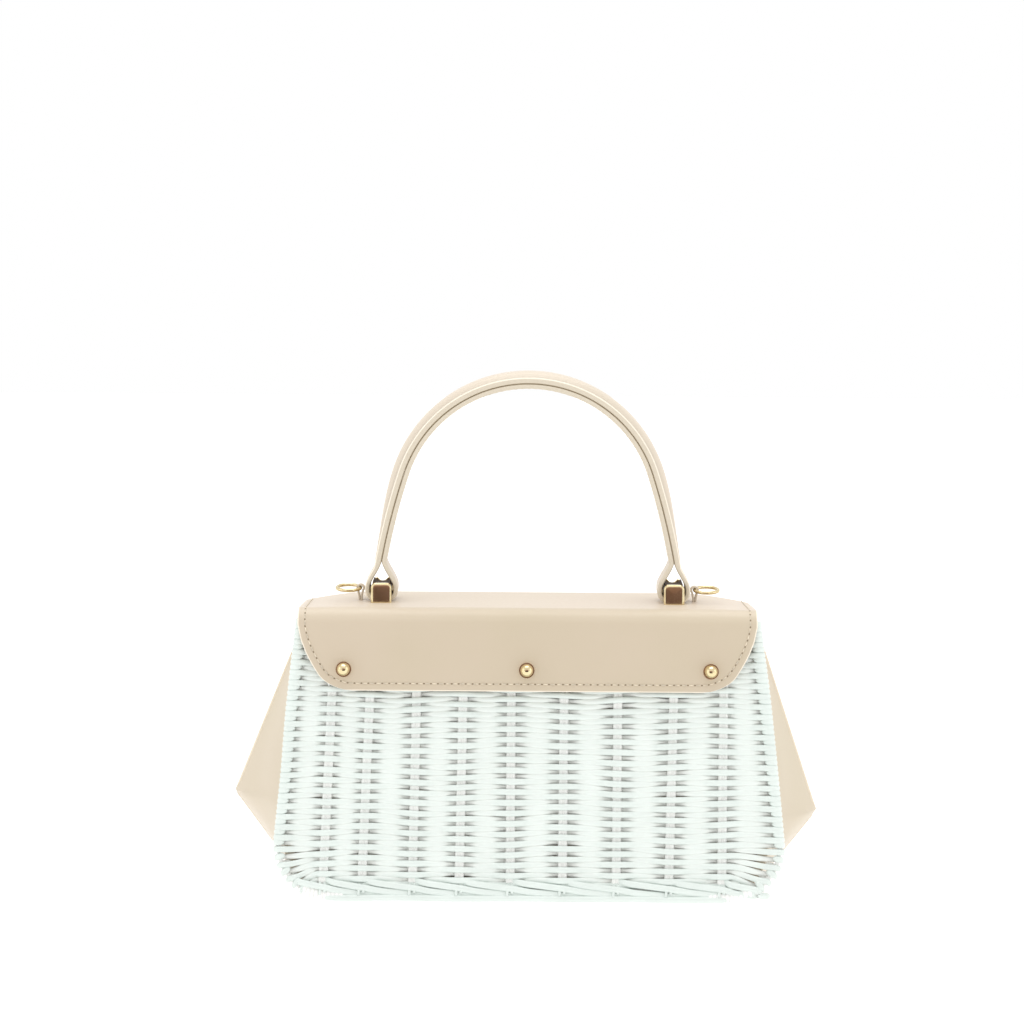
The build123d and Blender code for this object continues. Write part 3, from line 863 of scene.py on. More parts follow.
# ---------------------------------------------------------------- woven panels
@dataclass
class WovenPanel:
    """One cane panel: rows of weavers over pairs of stakes, a wrapped edge rod and a plaited foot."""

    palette: Palette
    place: str
    facing: int  # -1 for the back panel, 1 for the front
    seed: int
    lean: float = 9.0
    thickness: float = 7.0
    foot_half: float = 131.3
    taper: float = 0.0973
    corner_r: float = 28.0
    border: float = 9.0
    slope_length: float = 144.5
    stake_feet: tuple = (-102.6, -83.0, -57.4, -33.8, -8.0, 18.4, 45.6, 72.2, 99.0)
    stake_heads: tuple = (-97.4, -78.2, -55.4, -31.8, -8.0, 18.9, 46.2, 75.2, 99.8)
    pitch: float = 2.6  # from row to row
    first_row: float = 11.2
    last_row: float = 141.5
    swing: float = 2.0  # how far a weaver's middle stands off the middle of the panel
    cane_half: tuple = (0.98, 1.3)  # half thickness and half height of a weaver
    plump: float = 0.32  # what a weaver gains in half height where it passes in front
    pressed: float = 0.24  # what it gains where it crosses between its neighbours
    inset: float = 3.3  # from the panel's edge to the middle of the edge rod
    bulge: tuple = (1.0, 3.0)  # how far the left and right edges stand out
    eased_over: float = 24.0  # width over which that begins
    rod_r: float = 1.2
    liner_r: float = 0.75  # of the slender canes beside the stakes
    binding_inset: float = 11.0  # from the panel's edge to the end of the top leather
    binding_drop: float = 12.0
    binding_wall: float = 1.0
    lowest_turn: float = 60.0  # how far the lowest row's ends have gone round the corners, in degrees
    grip: float = 2.8  # how straight a weaver runs between the stakes
    sway: float = 0.16  # chance shift of a row at a stake
    ripples: tuple = (0.55, 0.28)  # heights of the slow and the quick wave of the rows
    settling: float = 0.85  # share of its last span over which a row comes to its end's height
    end_ripple: float = 0.35  # what is left of the ripple there
    tails: tuple = (3.0, 5.0)  # how far a row goes back past the rod, in front and behind
    climb: float = 0.3  # what it gains round the rod, in half pitches
    stoutness: tuple = (0.95, 1.06)
    foot_rolls: tuple = (
        (2.15, 1.55, 1.9), (2.5, -1.6, 1.9), (5.4, -1.2, 1.8), (4.3, 0.6, 1.6), (8.6, -0.1, 1.7),
    )  # height, depth and radius of each
    strand_half: tuple = (1.1, 1.72)  # half thickness and half height of a slanting strand
    turns: int = 11  # of the winding at a bottom corner
    wound: tuple = (58.0, 112.0)  # degrees round the corner where the winding starts and stops
    steps: int = 12  # points from one stake to the next
    ring: int = 10  # points round a weaver

    def __post_init__(self) -> None:
        """Reads the panel's place from the frame."""
        low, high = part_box(f"{self.place}_foot_border")
        outer = max(abs(low.y), abs(high.y)) / MM
        self.middle_y = outer - self.thickness / 2 * cos(radians(self.lean))
        self.random = np.random.default_rng(self.seed)

    def at(self, x: np.ndarray, v: np.ndarray, w: np.ndarray) -> np.ndarray:
        """Turns panel places into row-frame points.

        With the lean a, y = facing (middle - v sin a + w cos a) and z = v cos a + w sin a.
        Beyond the last stakes x is eased outwards to the bulge, on the left from 60 mm up the
        slope on and on the right by less from 100 mm on.

        Args:
            x: Across the panel, to the right as seen from outside.
            v: Up the slope.
            w: Outwards from the middle of the panel.

        Returns:
            The points, with a last axis of three.
        """
        a = radians(self.lean)
        left = smooth((self.stake_feet[0] - x) / self.eased_over) * smooth((v - 60.0) / 40.0)
        right = smooth((x - self.stake_feet[-1] - 2.0) / self.eased_over)
        right = right * (1 - 0.3 * smooth((v - 100.0) / 40.0))
        x = x - self.bulge[0] * left + self.bulge[1] * right
        y = self.facing * (self.middle_y - v * sin(a) + w * cos(a))
        return np.stack([-self.facing * x, y, v * cos(a) + w * sin(a)], axis=-1)

    def half(self, v: np.ndarray) -> np.ndarray:
        """Half width at height v: the foot's half width less the taper times v."""
        return self.foot_half - self.taper * v

    def ripple(self, x: np.ndarray, v: np.ndarray) -> np.ndarray:
        """How far the rows wander up or down: two slow waves across the panel, in millimetres.

        Args:
            x: Across the panel.
            v: Up the slope.

        Returns:
            The shift up the slope, which fades out at the lowest row.
        """
        slow = self.ripples[0] * np.sin(2 * pi * (x / 104 + v / 150) + 1.1 + self.seed)
        quick = self.ripples[1] * np.sin(2 * pi * (x / 47 - v / 83) + 2.3)
        return (slow + quick) * smooth((v - self.first_row) / 14.0)

    def hooks(
        self, x: np.ndarray, v: np.ndarray, turn: np.ndarray, parity: np.ndarray, side: float
    ) -> np.ndarray:
        """Turns every row back round the edge rod at one side of the panel.

        From its end a row goes outwards by swing sin(angle) and in depth by swing cos(angle),
        with the angle from 0 to pi, and then a short tail goes back inwards.

        Args:
            x: Where each row's line ends, across the panel.
            v: The same, up the slope.
            turn: How far round the bottom corner each end lies, in radians, 0 above the corner.
            parity: 1 for a row that comes to the rod in front, -1 for one behind.
            side: -1 for the left side, 1 for the right.

        Returns:
            Panel places (rows, points, 3), from the row's end on.
        """
        bend = np.linspace(0.0, pi, 11)[1:]
        tail = np.array([0.35, 0.7, 1.0])
        out_x, out_v = side * np.cos(turn)[:, None], np.sin(turn)[:, None]
        front_tail = (parity < 0)[:, None]
        back = np.where(front_tail, *self.tails) * tail
        away = np.concatenate([self.swing * np.sin(bend) + 0 * back[:, :1], -back], axis=1)
        deep = np.where(front_tail, np.cos(1.35 * tail), 1.0 + 0 * tail)
        depth = np.concatenate([np.broadcast_to(np.cos(bend), (len(turn), len(bend))), -deep], axis=1)
        rise = np.concatenate([smooth(bend / pi), np.ones(len(tail))])
        climb = 0.5 * self.pitch * rise * self.climb
        across = x[:, None] + out_x * away
        return np.stack(
            [across, v[:, None] + out_v * away + climb, parity[:, None] * self.swing * depth], axis=-1
        )

    def rows(self) -> tuple:
        """Works out the middle lines of all the weavers at once.

        A weaver's depth is swing |cos(pi p)|^grip with alternate signs, where p counts stakes; its
        height is its row's, plus the ripple and a small chance shift at each stake. At the rods
        it turns back. Its half height is greatest where it passes in front.

        Returns:
            The paths (rows, points, 3) in panel places, and the half sizes (rows, points, 2).
        """
        count = int((self.last_row - self.first_row) / self.pitch) + 1
        v0 = self.first_row + self.pitch * np.arange(count)
        sign = np.where(np.arange(count) % 2 == 0, 1.0, -1.0)
        rise = (v0[:, None] - self.border) / (self.slope_length - self.border)
        feet, heads = np.array(self.stake_feet), np.array(self.stake_heads)
        posts = feet + (heads - feet) * rise
        below = (self.corner_r - v0) / (self.corner_r - self.first_row)
        turn = -radians(self.lowest_turn) * np.clip(below, 0, None)
        corner_x = self.half(self.corner_r) - self.corner_r
        reach = self.corner_r - self.inset
        low = v0 < self.corner_r
        end_x = np.where(low, corner_x + reach * np.cos(turn), self.half(v0) - self.inset)
        end_v = np.where(low, self.corner_r + reach * np.sin(turn), v0)
        crossings = np.concatenate([-end_x[:, None], posts, end_x[:, None]], axis=1)
        spans = crossings.shape[1] - 1

        p = np.linspace(0.0, spans, spans * self.steps + 1)
        start = np.minimum(p.astype(int), spans - 1)
        share = p - start
        x = crossings[:, start] * (1 - share) + crossings[:, start + 1] * share
        chance = self.random.normal(0.0, self.sway, crossings.shape)
        eased = smooth(share)
        shift = chance[:, start] * (1 - eased) + chance[:, start + 1] * eased
        v = v0[:, None] + self.ripple(x, v0[:, None]) + shift
        near_end = smooth(1.0 - np.minimum(p, spans - p) / self.settling)
        held_v = end_v[:, None] + self.end_ripple * self.ripple(x, v0[:, None])
        v = v * (1 - near_end) + held_v * near_end
        wave = np.cos(pi * p)
        w = sign[:, None] * self.swing * np.sign(wave) * np.abs(wave) ** self.grip

        left = self.hooks(x[:, 0], v[:, 0], turn, sign, -1.0)
        right = self.hooks(x[:, -1], v[:, -1], turn, sign * (-1.0) ** spans, 1.0)
        path = np.concatenate([left[:, ::-1], np.stack([x, v, w], axis=-1), right], axis=1)

        front = smooth(path[..., 2] / self.swing + 0.2)
        stout = self.random.uniform(*self.stoutness, (count, 1))
        between = np.clip(1.0 - np.abs(path[..., 2]) / self.swing, 0, 1) ** 2
        height = (self.cane_half[1] + self.plump * front + self.pressed * between) * stout
        depth_half = np.full_like(height, self.cane_half[0])
        full = closed_ends(path.shape[1])
        return path, np.stack([depth_half * full, height * full], axis=-1)

    def rod_line(self, inset: float, count: int, top: float) -> np.ndarray:
        """Follows the panel's edge down one side, round its foot and up the other.

        Args:
            inset: From the panel's edge to the line.
            count: Points on the line.
            top: Height of both ends, up the slope.

        Returns:
            Panel places with depth 0.
        """
        r = self.corner_r - inset
        corner_x = self.half(self.corner_r) - self.corner_r
        turn = np.linspace(0.0, pi / 2, 16)
        right = np.stack([corner_x + r * np.cos(turn), self.corner_r - r * np.sin(turn)], axis=1)
        outline = np.concatenate([[[self.half(top) - inset, top]], right])
        both = np.concatenate([outline * (-1, 1), outline[::-1]])
        line = resample(both, count)
        return np.concatenate([line, np.zeros((count, 1))], axis=1)

    def sunk(self, w: np.ndarray) -> np.ndarray:
        """How deep a point lies in the weave: 0 at the outer face, 1 at the inner."""
        reach = self.swing + self.cane_half[0]
        return np.clip((reach - w) / (2 * reach), 0, 1)

    def add_canes(
        self, shell: Shell, path: np.ndarray, half_sizes: np.ndarray, sides: int,
        up: tuple | np.ndarray = (0.0, 1.0, 0.0), finish: int = 0,
    ) -> None:
        """Adds canes that follow panel places.

        Args:
            shell: The shell they go into.
            path: Their middle lines, in panel places.
            half_sizes: Half thickness and half height at each point.
            sides: Points round a cane.
            up: A direction that they never follow, for all points or for each.
            finish: The material slot number of their faces.
        """
        rings = tube(path, half_sizes, up, sides)
        points = self.at(rings[..., 0], rings[..., 1], rings[..., 2])
        shell.add_tubes(points, finish, self.sunk(rings[..., 2]))

    def build_weavers(self) -> None:
        """Weaves the rows, and lays a slender cane in the groove between the stakes of each pair."""
        shell = Shell()
        path, half_sizes = self.rows()
        self.add_canes(shell, path, half_sizes, self.ring)
        v = np.linspace(4.0, self.last_row + 1.0, 40)
        rise = (v - self.border) / (self.slope_length - self.border)
        size = closed_ends(len(v))[:, None] * np.full(2, self.liner_r)
        for foot, head in zip(self.stake_feet, self.stake_heads):
            liner = np.stack([foot + (head - foot) * rise, v, 0.3 + 0.0 * v], axis=-1)
            self.add_canes(shell, liner, size, 8, OUTWARDS, finish=1)
        piece = shell.piece(f"{self.place}_weavers", [self.palette.cane, self.palette.cane_upright])
        finish_piece(piece, Body.BASKET, [f"{self.place}_weave"])

    def build_edge(self) -> None:
        """Bends the edge rod and winds a cane round it at both bottom corners.

        The winding is a helix: rod + R (cos(angle) outwards, sin(angle) across the rod). Past
        the corner, where the rod runs level, it goes on straight.
        """
        shell = Shell()
        line = self.rod_line(self.inset, 240, self.last_row + 1.5)
        full = closed_ends(len(line))[:, None]
        self.add_canes(shell, line, self.rod_r * full * np.ones(2), 10, OUTWARDS)
        reach = self.corner_r - self.inset
        angle = np.linspace(0.0, 2 * pi * self.turns, 16 * self.turns + 1)
        bend = np.radians(np.linspace(*self.wound, len(angle)))
        ring_r = self.rod_r + self.cane_half[0]
        corner_x = self.half(self.corner_r) - self.corner_r
        past = np.clip(bend - pi / 2, 0, None) * reach
        held = np.minimum(bend, pi / 2)
        far = reach + ring_r * np.sin(angle)
        x = corner_x + far * np.cos(held) - past
        v = self.corner_r - far * np.sin(held)
        for side in (-1.0, 1.0):
            path = np.stack([side * x, v, ring_r * np.cos(angle)], axis=-1)
            size = closed_ends(len(path))[:, None] * np.array(self.cane_half)
            along = unit(np.stack([-side * np.sin(held), -np.cos(held), 0 * held], axis=-1))
            self.add_canes(shell, path, size, 8, along)
        piece = shell.piece(f"{self.place}_wrapped_edge", [self.palette.cane_upright])
        finish_piece(piece, Body.BASKET, [f"{self.place}_frame_rod"])

    def build_foot(self) -> None:
        """Plaits the foot: five rolls of cane, slanting strands over them and the stakes' cut ends.

        A strand starts behind one stake, passes in front of the next and ends under the one
        after, on a smooth curve through seven places.
        """
        shell = Shell()
        corner_x = self.half(self.corner_r) - self.corner_r
        x = np.linspace(-corner_x - 2.0, corner_x + 2.0, 150)
        for v, w, thick in self.foot_rolls:
            sway = 0.12 * np.sin(x / 9.0 + v)
            roll = np.stack([x, v + sway, w + 0.0 * x], axis=-1)
            size = closed_ends(len(x))[:, None] * thick * np.ones(2)
            self.add_canes(shell, roll, size, 12)
        feet = np.array(self.stake_feet)  # strands beyond the last stakes go on to the corners
        starts = np.concatenate([[feet[0] - 16.0], feet])
        nexts = np.concatenate([feet, [feet[-1] + 15.0]])
        afters = np.concatenate([feet[1:], [feet[-1] + 15.0, feet[-1] + 20.0]])
        for here, there, beyond in zip(starts, nexts, afters):
            gap = there - here
            line = spline(
                [
                    (here + 0.2, 12.6, -1.0), (here + 2.6, 10.6, 0.8), (here + 0.32 * gap, 9.4, 2.05),
                    (there, 7.2, 2.3), (there + 0.4 * (beyond - there), 5.5, 2.2),
                    (beyond - 3.0, 4.4, 1.5), (beyond + 2.0, 3.8, -0.4),
                ],
                44,
            )
            line[:, 1] += self.random.normal(0.0, 0.12)
            size = closed_ends(len(line))[:, None] * np.array(self.strand_half)
            self.add_canes(shell, line, size, 10)
        for foot in feet:
            for offset, reach in ((-1.5, 3.3), (0.9, 4.6)):
                side = foot + offset
                stub = spline([(side, 9.5, 0.9), (side + 0.2, 6.5, 2.3), (side, reach, 2.75)], 9)
                self.add_canes(shell, stub, np.full((len(stub), 2), self.liner_r), 8, OUTWARDS)
        piece = shell.piece(f"{self.place}_foot_plait", [self.palette.cane])
        finish_piece(piece, Body.BASKET, [f"{self.place}_foot_border"])

    def build_binding(self) -> None:
        """Folds the leather binding over the panel's top edge: an arch section carried across.

        In section the binding goes up one face at half the thickness, over a flat round top,
        (t cos(angle), t sin(angle)^0.8), and down the other.
        """
        low, high = self.slope_length - self.binding_drop, self.slope_length
        t, wall = self.thickness / 2, self.binding_wall
        angle = np.linspace(0.0, pi, 13)
        over_v, over_w = high - t + t * np.sin(angle) ** 0.8, t * np.cos(angle)
        under_v, under_w = high - t + (t - wall) * np.sin(angle) ** 0.8, (t - wall) * np.cos(angle)
        v = np.concatenate([[low], over_v, [low, low], under_v[::-1], [low]])
        w = np.concatenate([[t], over_w, [-t, wall - t], under_w[::-1], [t - wall]])
        x = np.linspace(-1.0, 1.0, 40)[:, None] * (self.half(v) - self.binding_inset)
        points = self.at(x, np.broadcast_to(v, x.shape), np.broadcast_to(w, x.shape))
        shell = Shell()
        shell.add_tubes(points)
        piece = shell.piece(f"{self.place}_top_leather", [self.palette.leather])
        finish_piece(piece, Body.BASKET, [f"{self.place}_top_binding"])

    def build(self) -> None:
        """Builds the whole panel; its stakes are the frame's own rods."""
        self.build_weavers()
        self.build_edge()
        self.build_foot()
        self.build_binding()
        # the stakes take the whiter upright cane: painted light for the shaded gaps
        dress([f"{self.place}_stakes"], self.palette.cane_upright)


# ---------------------------------------------------------------- gussets, base and lining
@dataclass
class BagShape:
    """Places that the gussets and the lining share, worked out from the back panel."""

    panel: WovenPanel
    seam_inset: float = 6.0  # from a panel's edge to the gusset's seam
    seam_gap: float = 0.3
    wing_x: float = 151.0
    wing_z: dict = field(default_factory=lambda: {Hand.LEFT: 47.0, Hand.RIGHT: 38.5})
    top_x: dict = field(default_factory=lambda: {Hand.LEFT: 110.8, Hand.RIGHT: 114.6})
    foot_x: dict = field(default_factory=lambda: {Hand.LEFT: 118.5, Hand.RIGHT: 122.5})
    foot_z: float = 2.0

    def __post_init__(self) -> None:
        """Reads the height of the flap's top from the frame."""
        self.mouth_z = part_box("flap_cover")[1].z / MM

    def seam(self, z: np.ndarray) -> tuple:
        """Half length and half depth of the gussets' seams at height z.

        The half length follows the panel's edge and its corner arc, r - sqrt(r^2 - (r - v)^2);
        the half depth is the panels' inner face, middle - z tan a - t / (2 cos a).

        Args:
            z: Heights.

        Returns:
            The half lengths and the half depths.
        """
        a = radians(self.panel.lean)
        v = z / cos(a)
        r = self.panel.corner_r
        cut = np.clip(r - v, 0.0, r)
        half = self.panel.half(np.maximum(v, r)) - (r - np.sqrt(r**2 - cut**2))
        depth = self.panel.middle_y - z * tan(a) - self.panel.thickness / 2 / cos(a)
        return half - self.seam_inset, depth - self.seam_gap

    def fold(self, z: np.ndarray, hand: Hand) -> np.ndarray:
        """Half length along a wing's fold: straight from the mouth to its point and on to the foot."""
        levels = [self.foot_z, self.wing_z[hand], self.mouth_z]
        return np.interp(z, levels, [self.foot_x[hand], self.wing_x, self.top_x[hand]])


@dataclass
class Gusset:
    """One folded end: a leather chevron, pinched to a fin down its upper fold, soft below the point."""

    palette: Palette
    hand: Hand
    shape: BagShape
    wall: float = 1.0
    fin: float = 1.1  # how far the pinched fold stands out
    fin_half: float = 0.8
    fin_share: float = 0.1  # where the fin ends and the wall starts, of the way to a seam
    turn_share: float = 0.94  # where the wall turns in
    allowance: float = 5.0  # turned in along the panel at the seam
    base_half: float = 104.6  # half length of the base board that the foot folds under
    crease: float = 0.35

    def build(self) -> None:
        """Builds the wall.

        With q from 0 at the fold to 1 at a seam, the wall leaves the fold along the fin, then
        x runs from the fin's root to the seam by (sqrt(t^2 + e^2) - e) / (sqrt(1 + e^2) - e),
        where e rounds the fold, and the depth by t, with a small hollow beside the fin.
        """
        name = f"gusset_{self.hand.name.lower()}"
        point = self.shape.wing_z[self.hand]
        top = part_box(name)[1].z / MM
        z = np.concatenate([np.linspace(self.shape.foot_z, point, 22), np.linspace(point, top, 44)[1:]])
        walled = np.linspace(self.fin_share, self.turn_share, 30)
        q = np.concatenate([np.linspace(0, self.fin_share, 7), walled[1:], [0.96, 0.98, 1.0]])
        s = np.concatenate([-q[:0:-1], q])
        level, reach = z[:, None], np.abs(s)[None]
        half, depth = self.shape.seam(level)
        fold = self.shape.fold(level, self.hand)
        upper = smooth((level - point + 2.0) / 7.0)
        fin, e = self.fin * upper, 0.02 + 0.06 * (1 - upper)
        in_fin = np.clip(reach / self.fin_share, 0, 1)
        t = np.clip((reach - self.fin_share) / (self.turn_share - self.fin_share), 0, 1)
        run = (np.sqrt(t**2 + e**2) - e) / (np.sqrt(1 + e**2) - e)
        turned = np.clip((reach - self.turn_share) / (1 - self.turn_share), 0, 1)
        hollow = 0.5 * upper * np.sin(pi * np.clip(t / 0.5, 0, 1)) * (1 - t)
        x = fold - fin * in_fin - (fold - fin - half) * run - self.allowance * turned - hollow
        rim = self.fin_half * (0.25 + 0.75 * upper)
        y = np.sign(s)[None] * (rim * np.minimum(1, reach / 0.025) ** 0.5 * (1 - t) + depth * t)
        near_point = np.exp(-((level - point) / 22.0) ** 2)
        x = x + self.crease * np.sin(level / 7.0 + 9 * t) * near_point * np.sin(pi * t)
        side = self.hand.value
        points = np.stack([side * x, y, level + 0 * x], axis=-1)
        under = []
        for share, low in ((0.04, 1.6), (0.5, 1.3), (1.0, 1.2)):
            row = points[0].copy()
            row[:, 0] += (side * self.base_half - row[:, 0]) * share
            row[:, 2] = low
            under.append(row)
        points = np.concatenate([np.array(under[::-1]), points])
        faces = grid_faces(*points.shape[:2])
        if self.hand is Hand.LEFT:
            faces = faces[:, ::-1]
        shell = Shell()
        shell.add(points, faces)
        # painted highlight: the faces at the fold take the lighter ridge colour
        at_fold = np.abs(s[:-1] + s[1:]) / 2 < self.fin_share
        shell.finishes[:] = np.tile(np.where(at_fold, 1, 0), len(points) - 1).tolist()
        piece = shell.piece(name + "_fold", [self.palette.gusset_leather, self.palette.ridge], closed=False)
        thicken(piece, self.wall, 0.3)
        finish_piece(piece, Body.BASKET, [name])


@dataclass
class LiningBag:
    """Sewn cotton bag inside: six soft-cornered sides, a flat floor and a turned hem at the mouth."""

    palette: Palette
    shape: BagShape
    gap: float = 2.4
    behind_gusset: float = 3.3
    cloth: float = 0.6
    hem: float = 9.0
    slack: float = 0.45
    hem_step: float = 0.45  # how far the folded hem stands in
    floor_tuck: float = 2.0  # what the rounded edge of the floor takes off

    def outline(self, z: float, count: int = 180) -> np.ndarray:
        """The bag's outline at one height.

        Points go evenly round the six corners and are then averaged with their neighbours,
        which rounds the corners.

        Args:
            z: The height.
            count: Points of the outline.

        Returns:
            The points in x and y.
        """
        half, depth = self.shape.seam(np.array([z]))
        x, y = half[0] - self.behind_gusset, depth[0] - self.gap
        left = self.shape.fold(np.array([z]), Hand.LEFT)[0] - 2 * self.behind_gusset
        right = self.shape.fold(np.array([z]), Hand.RIGHT)[0] - 2 * self.behind_gusset
        corners = np.array([(-x, -y), (x, -y), (right, 0), (x, y), (-x, y), (-left, 0), (-x, -y)])
        loop = resample(corners, count + 1)[:-1]
        for _ in range(3):
            loop = (np.roll(loop, 1, axis=0) + loop + np.roll(loop, -1, axis=0)) / 3
        return loop

    def build(self) -> None:
        """Builds the cloth: wall, floor and hem.

        The wall is the outline moved outwards by slack sin(9 place + z / 17) sin(pi rise), with
        place the angle round the bag and rise from 0 at the floor to 1 at the mouth.
        """
        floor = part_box("base_panel")[1].z / MM + 0.5
        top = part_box("lining")[1].z / MM
        wall = np.linspace(floor + 2.5, top - self.hem, 40)
        levels = np.concatenate([[floor, floor + 0.6], wall, [top - self.hem + 0.3, top - 1.0, top]])
        rings = []
        for z in levels:
            loop = self.outline(max(z, 8.0))
            outwards = unit(loop - np.roll(loop, 2, axis=0))[:, ::-1] * (1, -1)
            place = np.arange(len(loop)) / len(loop) * 2 * pi
            slack = self.slack * np.sin(9 * place + z / 17.0) * np.sin(pi * (z - floor) / (top - floor))
            hem = self.hem_step if z > top - self.hem + 0.1 else 0.0
            tuck = self.floor_tuck * (1 - min(1.0, (z - floor) / 2.5)) ** 2
            ring = loop + outwards * (slack - hem - tuck)[:, None]
            rings.append(np.column_stack([ring, np.full(len(ring), z)]))
        level = np.full(len(rings[0]), floor)
        bottom = [np.column_stack([rings[0][:, :2] * share, level]) for share in (0.03, 0.5)]
        points = np.array(bottom + rings)
        faces = grid_faces(*points.shape[:2], ring=True)
        shell = Shell()
        shell.add(points, faces)
        shell.faces.append(list(range(points.shape[1]))[::-1])
        shell.finishes.append(0)
        piece = shell.piece("cotton_bag", [self.palette.twill], closed=False)
        thicken(piece, self.cloth, 0.1)
        finish_piece(piece, Body.BASKET, ["lining"])


# ---------------------------------------------------------------- flap
@dataclass
class Flap:
    """The lined leather flap: up the back, over both folds, down the front, sewn round its edge."""

    palette: Palette
    panel: WovenPanel
    fold_r: float = 8.0
    leather: float = 1.6
    lining: float = 0.8
    half_top: float = 116.3
    back_drop: float = 106.5  # height of its lower edge on the back, up the slope
    back_sweep: float = 16.6  # how far each side draws in from the fold to the lower edge
    back_curve: float = 1.675
    back_round: tuple = (11.5, 8.0)  # width and height of a lower corner
    front_drop: float = 74.0
    front_half: float = 98.0
    front_taper: float = 0.273
    front_round: tuple = (21.0, 21.0)
    front_gap: float = 3.6
    droop: tuple = (0.5, 5.0)  # how far the unsupported ends of the top sink, at the rear and front folds
    droop_from: float = 80.0
    stitch_inset: float = 3.7
    stitch_pitch: float = 3.5
    thread_r: float = 0.3
    hole_r: float = 0.52
    groove: float = 0.1
    groove_width: float = 0.8

    def __post_init__(self) -> None:
        """Works out the lengths of the five stretches: back, rear fold, top, front fold, front."""
        self.top_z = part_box("flap_cover")[1].z / MM
        self.a = radians(self.panel.lean)
        flat = self.panel.thickness / 2 + self.leather + self.lining - self.fold_r
        self.rear_w, self.front_w = flat, flat + self.front_gap
        (y_rear, _), (y_front, _), (fold_v, _) = self.folds(0.0)
        turn = (pi / 2 - self.a) * self.fold_r
        self.stretches = np.array([
            fold_v - self.back_drop, turn, y_front - y_rear, turn, fold_v - self.front_drop,
        ])
        self.marks = np.concatenate([[0.0], np.cumsum(self.stretches)])

    def folds(self, sunk: np.ndarray) -> tuple:
        """Middles of both folds as y and z, and their heights up the slope, where the top has sunk.

        The folds slide down along the panels' slopes, so y = +-(middle + (w - z sin a) / cos a).

        Args:
            sunk: Share of the droop, from 0 to 1.

        Returns:
            The rear fold, the front fold and the two heights, each as a pair.
        """
        z_rear, z_front = (self.top_z - self.fold_r - drop * sunk for drop in self.droop)
        y_rear = -self.panel.middle_y - (self.rear_w - z_rear * sin(self.a)) / cos(self.a)
        y_front = self.panel.middle_y + (self.front_w - z_front * sin(self.a)) / cos(self.a)
        v_rear = sin(self.a) * (y_rear + self.panel.middle_y) + cos(self.a) * z_rear
        v_front = v_rear + (z_front - z_rear) / cos(self.a)
        return (y_rear, z_rear), (y_front, z_front), (v_rear, v_front)

    def sunk_by(self, x: np.ndarray) -> np.ndarray:
        """Share of the droop at x: u^1.6, with u from 0 at the bridges to 1 at the ends."""
        u = np.clip((np.abs(x) - self.droop_from) / (self.half_top - self.droop_from), 0, 1)
        return u**1.6

    def at(self, x: np.ndarray, s: np.ndarray, r: float) -> np.ndarray:
        """Points of the flap.

        Along each stretch a spine line or fold middle is followed, and the point lies r from it
        along the outward normal, whose angle goes from 180 - lean through 90 to lean degrees.

        Args:
            x: Across the bag.
            s: Length along the flap from its lower edge on the back.
            r: Distance from the folds' middles; the outer face has r = fold_r.

        Returns:
            The points, with a last axis of three.
        """
        x, s = np.broadcast_arrays(x, s)
        (y_rear, z_rear), (y_front, z_front), (v_rear, v_front) = self.folds(self.sunk_by(x))
        t = np.clip((s[..., None] - self.marks[:-1]) / self.stretches, 0, 1)
        back_left = (1 - t[..., 0]) * (v_rear - self.back_drop)
        front_gone = t[..., 4] * (v_front - self.front_drop)
        angle = (pi - self.a) - (pi / 2 - self.a) * (t[..., 1] + t[..., 3])
        y = y_rear + (y_front - y_rear) * t[..., 2] - back_left * sin(self.a) + front_gone * sin(self.a)
        z = z_rear + (z_front - z_rear) * t[..., 2] - (back_left + front_gone) * cos(self.a)
        return np.stack([x, y + r * np.cos(angle), z + r * np.sin(angle)], axis=-1)

    def half(self, s: np.ndarray) -> np.ndarray:
        """Half width at length s.

        The back draws in by sweep (1 - s / fold)^curve and the front by a straight taper; each
        corner takes off a quarter ellipse, width (1 - sqrt(1 - (1 - d / height)^2)).

        Args:
            s: Length along the flap.

        Returns:
            The half widths.
        """
        total = self.marks[-1]
        back = self.half_top - self.back_sweep * np.clip(1 - s / self.marks[1], 0, 1) ** self.back_curve
        front = self.front_half + self.front_taper * (total - s)
        half = np.minimum(np.minimum(back, front), self.half_top)
        for d, (wide, high) in ((s, self.back_round), (total - s, self.front_round)):
            left = np.clip(1 - d / high, 0, 1)
            half = half - wide * (1 - np.sqrt(1 - left**2))
        return half

    def outline(self, inset: float) -> np.ndarray:
        """The closed edge line, moved in along its normal.

        Args:
            inset: How far it is moved.

        Returns:
            Its points in x and s, the last one on the first.
        """
        total = self.marks[-1]
        rise = 0.5 * (1 - np.cos(np.linspace(0, pi, 500))) * total
        right = np.stack([self.half(rise), rise], axis=1)
        loop = np.concatenate([right, right[::-1] * (-1, 1), right[:1]])
        loop = resample(loop, 1600)
        t = unit(np.roll(loop[:-1], -1, axis=0) - np.roll(loop[:-1], 1, axis=0))
        moved = loop[:-1] + inset * np.stack([-t[:, 1], t[:, 0]], axis=1)
        return np.concatenate([moved, moved[:1]])

